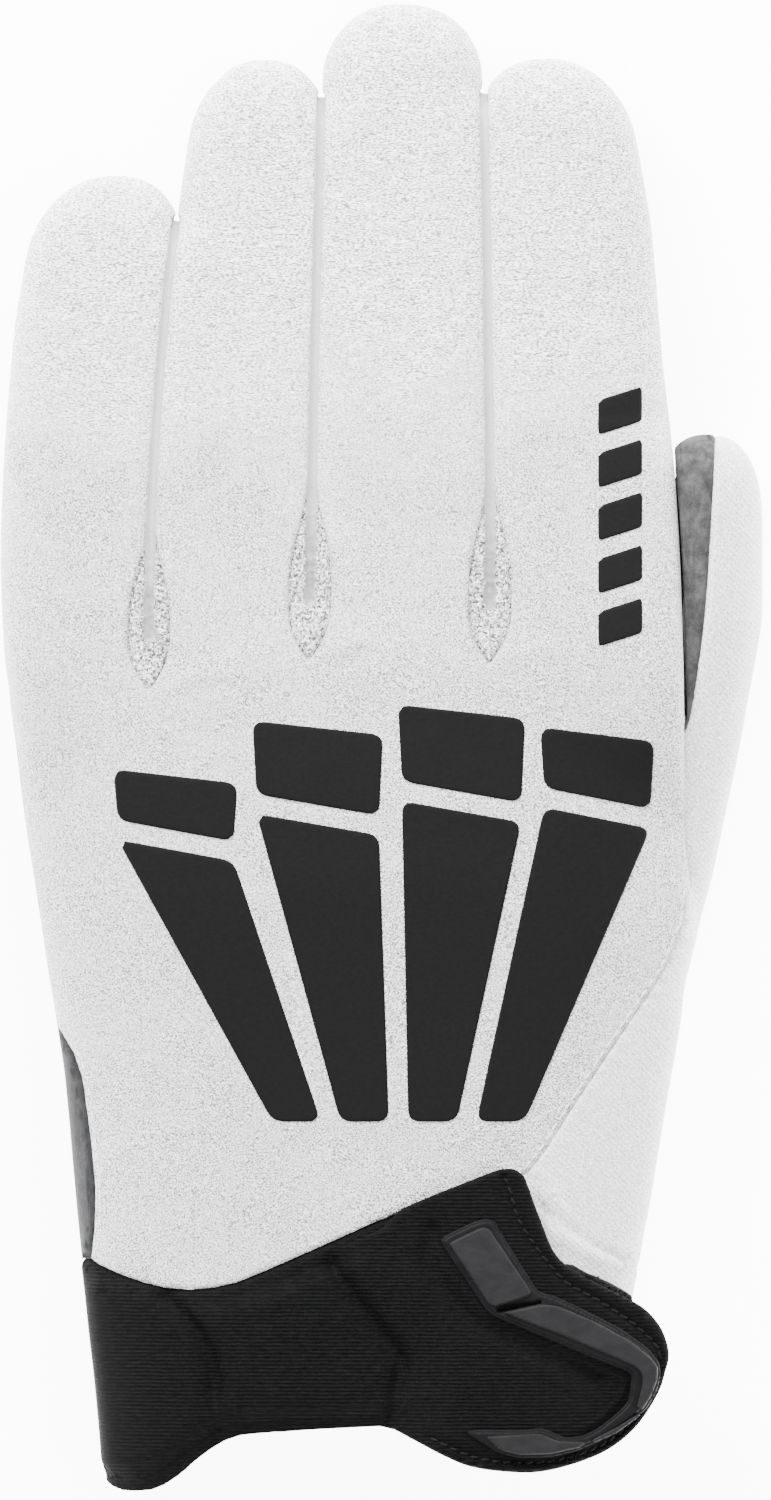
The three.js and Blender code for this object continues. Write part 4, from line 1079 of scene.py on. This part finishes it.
def cornered(outline, radius):
    """An outline with its corners rounded off."""
    out = []
    p = np.array(outline, float)
    for before, here, after in zip(np.roll(p, 1, axis=0), p, np.roll(p, -1, axis=0)):
        a, b = before - here, after - here
        cut = min(radius, np.hypot(*a) / 2.2, np.hypot(*b) / 2.2)
        a, b = (here + v / np.hypot(*v) * cut for v in (a, b))
        for t in (0, 0.25, 0.5, 0.75, 1):
            out.append(tuple((1 - t) ** 2 * a + 2 * t * (1 - t) * here + t * t * b))
    return out


# Flat pieces that follow the back: each has an outline, an underside and a top
def plate(name, outline, step, low, high, material, levels, node=None):
    """A closed piece over an outline: low and high give its heights from points and edge distance."""
    gx, gy = (np.arange(v.min() - step, v.max() + 2 * step, step) for v in np.array(outline).T)
    mx, my = np.meshgrid(gx, gy, indexing="ij")
    verts = np.column_stack([mx.ravel(), my.ravel(), np.zeros(mx.size)])
    index = np.arange(mx.size).reshape(mx.shape)
    quads = np.stack([index[:-1, :-1], index[1:, :-1], index[1:, 1:], index[:-1, 1:]], axis=-1)
    part = Cloth(verts, quads.reshape(-1, 4)).split(within(outline, verts), snap=0.02)
    for level in levels:
        part = part.split(within(outline, part.verts) - level, keep_low=True, snap=0.02)
    x, y, _ = part.verts.T
    edge = np.maximum(within(outline, part.verts), 0)
    top, under = (np.column_stack([x, y, height(x, y, edge)]) for height in (high, low))
    return shell(name, part, top, under, material, node)


def top_of(outline, high):
    """A plate's top as a height over points alone."""
    return lambda x, y: high(x, y, np.maximum(inside_distance(outline, x, y), 0))


def quarter(edge, radius):
    """Rises from 0 at an edge to 1 as a quarter circle."""
    t = np.clip(edge / radius, 0, 1)
    return np.sqrt(1 - (1 - t) ** 2)


def wrist_height(x, y):
    """The back of the wrist, carried on in a straight line past its shoulder."""
    left, right, widest = hand["left"](y), hand["right"](y), hand["widest"](y)
    u = np.abs((x - (left + right) / 2) / ((right - left) / 2))
    shoulder = 0.8
    slope = -(shoulder**2) * 1.5 / math.sqrt(1 - shoulder**3)
    near = np.sqrt(1 - np.minimum(u, shoulder) ** 3)
    return widest + (hand["top"](y) - widest) * (near + slope * np.maximum(u - shoulder, 0))


STRAP = smooth_line([
    (4.2, -70.9), (8.9, -68.9), (12.2, -67.6), (15.5, -66.3), (18.4, -65.3), (20.6, -65.4),
    (21.9, -66.4), (22.5, -67.9), (23.6, -71), (24.9, -74.4), (26, -77.2), (27.3, -79.2), (28.9, -80.5),
    (32.6, -82.7), (37.3, -85.1), (40.7, -87.1), (43.3, -90.3), (44.4, -94), (43.9, -96.6),
    (42.7, -100.2), (39.4, -105.2), (35, -108.8), (29.6, -111), (24.1, -112.2), (18.8, -112.1),
    (13.6, -111.3), (9.6, -109.7), (5.2, -107.4), (2.2, -105.8), (0.7, -105.1), (1.1, -103.2),
    (2, -99.6), (2.7, -95.6), (1.7, -93.5), (-1.2, -89.7), (-5.2, -84.4), (-8.1, -80), (-8.4, -78.7),
    (-7, -77.6), (-3.4, -76), (0.2, -74.2), (2.4, -71.9),
], 1.0, closed=True)
STITCH_LINE = smooth_line([
    (18.9, -66.6), (19.8, -68.7), (20.8, -72.4), (22.5, -75.5), (25.2, -79.3), (28.6, -83),
    (33.4, -85.7), (38.5, -89.1), (41.9, -92.2), (43, -94.6), (41.6, -99.6), (38.6, -104.4),
    (34.2, -107.9), (29.2, -109.8), (24.1, -110.7), (18.8, -110.6), (14.1, -109.8), (10, -108.1),
    (6.2, -106.2),
])
STRAP_CHANNEL = smooth_line([
    (7.6, -75), (7.4, -79.6), (10.6, -85.4), (15.9, -89.8), (22.4, -92.6), (28.4, -95.4), (33, -98),
])
STRAP_RIDGE = smooth_line([
    (29, -94.6), (33, -96.3), (36.9, -98), (37.2, -99.6), (36, -101.6), (32.9, -104.4), (30.6, -105.6),
])
STRAP_ROOT = [(-8, -78.4), (-5.4, -84.4), (-1.4, -89.7), (2.4, -95), (2, -99.6), (1, -105.5)]
STRAP_THICK = 1.7


def strap_under(x):
    return 0.7 + 0.2 * ramp(x, -6, 3) + 0.8 * ramp(x, 3, 14)


def root_free(x, y):
    """Rises from 0 at the strap's root, where it is one with the band, to 1."""
    root, _ = line_distance(STRAP_ROOT, x, y)
    return ramp(root, 0.6, 9)


def band_surface(x, y):
    """The height of the band's outside, seen from above."""
    from_hem = -inside_distance(BACK_PLAN, x, y)
    return top_height(x, y) - 0.35 + 0.6 * ramp(from_hem, -0.4, 1.4) + pad_rise(x, y)


def rooted(x, y, own, rise):
    """A height that runs from this rise over the band, at the strap's root, to its own."""
    free = root_free(x, y)
    out = own.copy()
    near = free < 1
    out[near] = band_surface(x[near], y[near]) + rise[near]
    return out * (1 - free) + own * free


def strap_low(x, y, edge):
    own = wrist_height(x, y) + strap_under(x) + 0.8 * (1 - quarter(edge, 0.8))
    return rooted(x, y, own, 0 * x - 0.9)


def strap_high(x, y, edge):
    stitches, channel, ridge = (
        line_distance(points, x, y)[0] for points in (STITCH_LINE, STRAP_CHANNEL, STRAP_RIDGE)
    )
    top = STRAP_THICK - 0.85 * (1 - quarter(edge, 0.9)) + 0.06 * noise(x, y, 0 * x, 3.2, 21)
    top += 0.5 * bell(ridge, 0.32) - bell(channel, 1.5) - 0.6 * bell(stitches, 0.5)
    # The border beyond the stitches is rough, where its edge is sewn over
    top += 0.14 * noise(x, y, 0 * x, 0.9, 22) * ramp(1.9 - edge, 0, 0.8) * ramp(-y, 78, 86)
    own = wrist_height(x, y) + strap_under(x) + top
    return rooted(x, y, own, 0.04 - 0.4 * (1 - quarter(edge, 0.9)))


FINE = 0.45
plate("strap", STRAP, FINE, strap_low, strap_high, "black_knit", (0.25, 0.6, 0.95), "closure_strap")

MOULDING = [
    (8.9, -76.5), (9.5, -75.6), (14, -73.4), (15.9, -72.9), (17.3, -73.2), (18.2, -74.8), (24, -84.2),
    (26.6, -84.9), (31, -87), (36.8, -90), (41.2, -93.2), (42.9, -95.4), (43.1, -97.3), (42.5, -99.9),
    (40.8, -102.7), (38.2, -104.7), (36, -106.2), (33, -107.8), (29.4, -109.2), (25.8, -109.9),
    (21.2, -110), (17.8, -109.2), (12.7, -105.9), (14.2, -105.5), (22.2, -105.6), (24.8, -105.3),
    (28.3, -106.9), (31.1, -106.6), (33.4, -105.4), (36.9, -102.6), (38.1, -101.2), (38.5, -97.4),
    (37.8, -96.7), (33.4, -95), (24.6, -91.2), (17.4, -88.2), (16, -87.2),
]
MOULDING_FACES = [
    [(10.2, -76.7), (15.4, -74.2), (16.5, -74.5), (23, -84.2), (22.6, -84.9), (17.6, -86.6), (16.4, -86.2)],
    [(18.4, -87.4), (24.8, -86.2), (27.2, -86.5), (33, -89), (38.4, -92), (41.4, -94.4), (42.7, -96),
     (42.6, -98), (41.6, -100.7), (40.1, -102.9), (39.3, -102.4), (40.2, -98.9), (40.1, -97), (39, -95.9),
     (34, -93.7), (28, -91.1), (21.6, -88.7)],
    [(39.7, -103.2), (39.9, -103.6), (36.2, -106.3), (32.6, -107.8), (32.3, -107.3), (35.8, -105.6)],
    [(15.8, -106.6), (24.4, -106.2), (27.2, -107.4), (31.4, -107.6), (30.8, -108.4), (26, -109.4),
     (21.4, -109.5), (18.4, -108.8)],
]
MOULDING_SLIT = [(18.2, -86.9), (24.3, -85.9)]


def slit_depth(x, y):
    slit, along = line_distance(MOULDING_SLIT, x, y)
    return 1.5 * np.clip(1 - slit / (0.8 - 0.5 * along), 0, 1)


def moulding_under(x, y, edge):
    return wrist_height(x, y) + strap_under(x) + STRAP_THICK - 0.25


def moulding_top(x, y, edge):
    """A low rim with a step inside it."""
    rise = 0.25 + 0.5 * quarter(edge, 0.25) + 0.35 * ramp(edge, 0.45, 0.7)
    return moulding_under(x, y, edge) + rise - slit_depth(x, y)


def face_under(x, y, edge):
    return moulding_under(x, y, edge) + 0.5 - slit_depth(x, y)


def face_top(x, y, edge):
    return face_under(x, y, edge) + 0.6 + 0.5 * quarter(edge, 0.35)


TAB_STEP = 0.3
TAB_LEVELS = (0.1, 0.25, 0.45, 0.7)
outline = cornered(MOULDING, 0.9)
# The rim around and under the raised faces is painted darker than they are: painted shade
plate(
    "pull_tab", outline, TAB_STEP, moulding_under, moulding_top, "rubber_painted_shade", TAB_LEVELS, "grip_moulding"
)
for i, points in enumerate(MOULDING_FACES, 1):
    outline = cornered(points, 0.7)
    plate(f"pull_tab_face_{i}", outline, TAB_STEP, face_under, face_top, "grey_rubber", (0.1, 0.35))

PATCH = smooth_line([
    (14, -82), (23, -82), (28.4, -80), (31.4, -81.3), (34.8, -82.8), (37.2, -84.1), (38.6, -85),
    (38.8, -86.2), (38.5, -99), (24, -101), (13, -100), (12, -88),
], 1.0, closed=True)


def patch_top(x, y, edge):
    return wrist_height(x, y) + 0.75 * quarter(edge, 0.4) + 0.07 * noise(x, y, 0 * x, 0.8, 31)


plate(
    "fastener", PATCH, FINE, lambda x, y, edge: wrist_height(x, y) - 0.1, patch_top, "black_tape",
    (0.2, 0.45), "fastener_patch",
)

# The raised print: tapered bars that fan from the wrist, a knuckle bar above each, and side bars.
# A ray's row has its left and right at the wrist, left and right above, its top and its knuckle bar's
PRINT_RAYS = [
    (-17, -9.5, -41, -23, -15.5, -3.5),
    (-6.5, 1, -19.5, -0.5, -11.5, 4),
    (4, 11.5, 3, 21.5, -9.5, 6.5),
    (14.5, 22, 25, 41.5, -10.5, 3),
]
PRINT_WRIST_Y = -58
PRINT_SPLIT = 3
PRINT_SLANT = 2.2
PRINT_FLARE = 0.6
PRINT_THICK = 0.32
SIDE_BARS = 5
SIDE_BAR_LEFT = 33.4
SIDE_BAR_RIGHT = 40.2
SIDE_BAR_FIRST = 15.4
SIDE_BAR_PITCH = 8.2
SIDE_BAR_LENGTH = 5.4


def film(name, outline, radius, node):
    step = 0.8
    plate(
        name, cornered(outline, radius), step,
        lambda x, y, edge: top_height(x, y) - 0.3,
        lambda x, y, edge: top_height(x, y) + PRINT_THICK * quarter(edge, 0.3),
        "black_print", (0.12, 0.3), node,
    )


for i, (wrist_left, wrist_right, left, right, top, knuckle) in enumerate(PRINT_RAYS, 1):
    top_left, top_right = top + PRINT_SLANT / 2, top - PRINT_SLANT
    wrist = [(wrist_left, PRINT_WRIST_Y), (wrist_right, PRINT_WRIST_Y)]
    film(f"print_bar_{i}", wrist + [(right, top_right), (left, top_left)], 1.8, f"print_ray_{i}")
    foot = [(left, top_left + PRINT_SPLIT), (right, top_right + PRINT_SPLIT)]
    head = [(right + PRINT_FLARE, knuckle - PRINT_SLANT), (left - PRINT_FLARE, knuckle)]
    film(f"print_block_{i}", foot + head, 1.8, f"print_knuckle_{i}")
for i in range(SIDE_BARS):
    foot = SIDE_BAR_FIRST + i * SIDE_BAR_PITCH
    bar = [
        (SIDE_BAR_LEFT, foot),
        (SIDE_BAR_RIGHT, foot + PRINT_SLANT),
        (SIDE_BAR_RIGHT, foot + PRINT_SLANT + SIDE_BAR_LENGTH),
        (SIDE_BAR_LEFT, foot + SIDE_BAR_LENGTH),
    ]
    film(f"print_side_{i + 1}", bar, 0.5, f"side_bar_{i + 1}")


# Stitches
THREAD_SIDES = 6
THREAD_PROFILE = [(-1, 0.25), (-0.86, 0.75), (-0.5, 1), (0.5, 1), (0.86, 0.75), (1, 0.25)]


def stitch_mesh(starts, ends, ups, radius):
    """Short rounded threads between pairs of points."""
    turn = 2 * np.pi * np.arange(THREAD_SIDES)[:, None] / THREAD_SIDES
    verts = []
    for start, end, up in zip(starts, ends, ups):
        middle, half = (start + end) / 2, (end - start) / 2
        along = half / np.linalg.norm(half)
        across = np.cross(along, up)
        across /= np.linalg.norm(across)
        circle = radius * (np.cos(turn) * across + np.sin(turn) * np.cross(across, along))
        verts += [middle + half * t + r * circle for t, r in THREAD_PROFILE]
    ring = np.arange(THREAD_SIDES)
    sides = np.column_stack([ring, np.roll(ring, -1)])
    last = len(THREAD_PROFILE) - 1
    one = []
    for row in range(last):
        one += [(a, b, b + THREAD_SIDES, a + THREAD_SIDES) for a, b in sides + row * THREAD_SIDES]
    one += [ring[::-1], ring + last * THREAD_SIDES]
    count = (last + 1) * THREAD_SIDES
    faces = [[int(k) + count * i for k in face] for i in range(len(starts)) for face in one]
    return np.vstack(verts), faces


def sideways(p):
    """The direction to the left of a line, at each of its points."""
    t = np.gradient(p, axis=0)
    t /= np.hypot(*t.T)[:, None]
    return np.column_stack([-t[:, 1], t[:, 0]])


def beside(points, away):
    p = np.array(points)
    return p + away * sideways(p)


def dashes(points, pitch, slant=0):
    """Stitches in a row: evenly spaced starts and ends along a line."""
    p = np.array(points)
    run = np.concatenate([[0], np.cumsum(np.linalg.norm(np.diff(p, axis=0), axis=1))])
    places = np.arange(0, run[-1] - pitch, pitch)
    starts, ends = (
        np.column_stack([np.interp(at, run, values) for values in p.T])
        for at in (places, places + 0.72 * pitch)
    )
    shift = np.column_stack([-(ends - starts)[:, 1], (ends - starts)[:, 0]]) * slant
    return starts - shift, ends + shift


def zigzag(points, pitch, width):
    """Stitches that swing from side to side of a line."""
    starts, ends = dashes(points, pitch)
    p = np.vstack([starts, ends[-1:]])
    uneven = 1 + 0.6 * noise(p[:, 0], p[:, 1], 0 * p[:, 0], 1.1, 41)
    swing = (np.where(np.arange(len(p)) % 2, 1, -1) * uneven)[:, None] * width / 2
    p = p + swing * sideways(p)
    return p[:-1], p[1:]


def sew(name, stitches, radius, material, height=None, lift=0.0):
    """Rounded stitches: on the outside surface, or at a given height."""
    starts, ends = (np.column_stack([p, (height or top_height)(*p.T)]) for p in stitches)
    if height is None:
        starts, ends = settle(starts, 2), settle(ends, 2)
        ups = unit(gradient((starts + ends) / 2))
    else:
        ups = np.tile([0.0, 0.0, 1.0], (len(starts), 1))
    verts, faces = stitch_mesh(starts + ups * lift, ends + ups * lift, ups, radius)
    make(name, verts, faces, material)


for name, row, pitch, lift in (
    ("thumb_seam", beside(smooth_line(THUMB_SEAM[1:]), 0.75), 1.9, -0.02),
    ("wrap_seam", beside(smooth_line(PALM_WRAP_SEAM[3:]), 0.9), 2.0, -0.05),
    ("thumb_top", smooth_line([(x + 0.9, y) for x, y in THUMB_TOP_SEAM[2:6]]), 2.2, -0.02),
):
    sew("stitches_" + name, dashes(row, pitch), 0.17, "white_thread", lift=lift)
on_strap = top_of(STRAP, strap_high)
sew("stitches_strap", dashes(STITCH_LINE, 1.7, 0.12), 0.24, "black_thread", on_strap, 0.06)
patch_edge = smooth_line([(28.6, -80.7), (31.2, -81.9), (34.6, -83.4), (37, -84.7), (38.2, -85.5)])
on_patch = top_of(PATCH, patch_top)
sew("stitches_fastener", zigzag(patch_edge, 0.55, 1.2), 0.13, "black_thread", on_patch, 0.06)
strap_edge = smooth_line([
    (31.5, -109.3), (28, -110.5), (24.1, -111.2), (18.8, -111.1), (13.8, -110.3), (9.8, -108.7),
    (6, -106.8),
])
sew("stitches_strap_edge", zigzag(strap_edge, 0.7, 1.3), 0.16, "black_knit", on_strap, 0.04)


# The camera looks straight down with the fingers up, as the photograph does
FRAME_HEIGHT = 232.5 * MM
FRAME_MIDDLE = (0.47 * MM, -0.54 * MM)
MATCH_Z = 15 * MM
LENS = 700
SENSOR = 36
camera_data = bpy.data.cameras.new("camera")
camera_data.lens = LENS
camera_data.sensor_width = SENSOR
camera = placed("camera", camera_data, (*FRAME_MIDDLE, MATCH_Z + FRAME_HEIGHT * LENS / SENSOR))
bpy.context.scene.camera = camera

FLOOR_REACH = 3.0
FLOOR_Z = -0.2 * MM
floor_mesh = bpy.data.meshes.new("floor")
floor_corners = [(FLOOR_REACH * x, FLOOR_REACH * y, 0) for x, y in ((-1, -1), (1, -1), (1, 1), (-1, 1))]
floor_mesh.from_pydata(floor_corners, [], [(0, 1, 2, 3)])
floor = placed("floor", floor_mesh, (0, 0, FLOOR_Z))
floor_material = bpy.data.materials.new("floor")
floor_material.use_nodes = True
fill(floor_material.node_tree.nodes["Principled BSDF"].inputs, {
    "Base Color": (0.9, 0.9, 0.9, 1),
    "Roughness": 0.9,
    "Emission Color": (1, 1, 1, 1),
    "Emission Strength": 9,
})
floor_mesh.materials.append(floor_material)

# Square lights that face the glove: place, size and power
LIGHTS = {
    "key": ((-0.75, 0.9, 0.9), 0.5, 52),
    "fill": ((0.7, -0.2, 1.0), 0.9, 13),
    "top": ((0.0, 0.45, 0.3), 0.3, 7),
    "front": ((0.0, -0.9, 0.8), 0.8, 8),
}
for name, (at, size, power) in LIGHTS.items():
    data = bpy.data.lights.new(name, "AREA")
    data.energy = power
    data.size = size
    placed(name, data, at).rotation_euler = (-Vector(at)).to_track_quat("-Z", "Y").to_euler()
world = bpy.data.worlds.new("studio")
bpy.context.scene.world = world
world.use_nodes = True
fill(world.node_tree.nodes["Background"].inputs, {"Color": (1, 1, 1, 1), "Strength": 0.55})
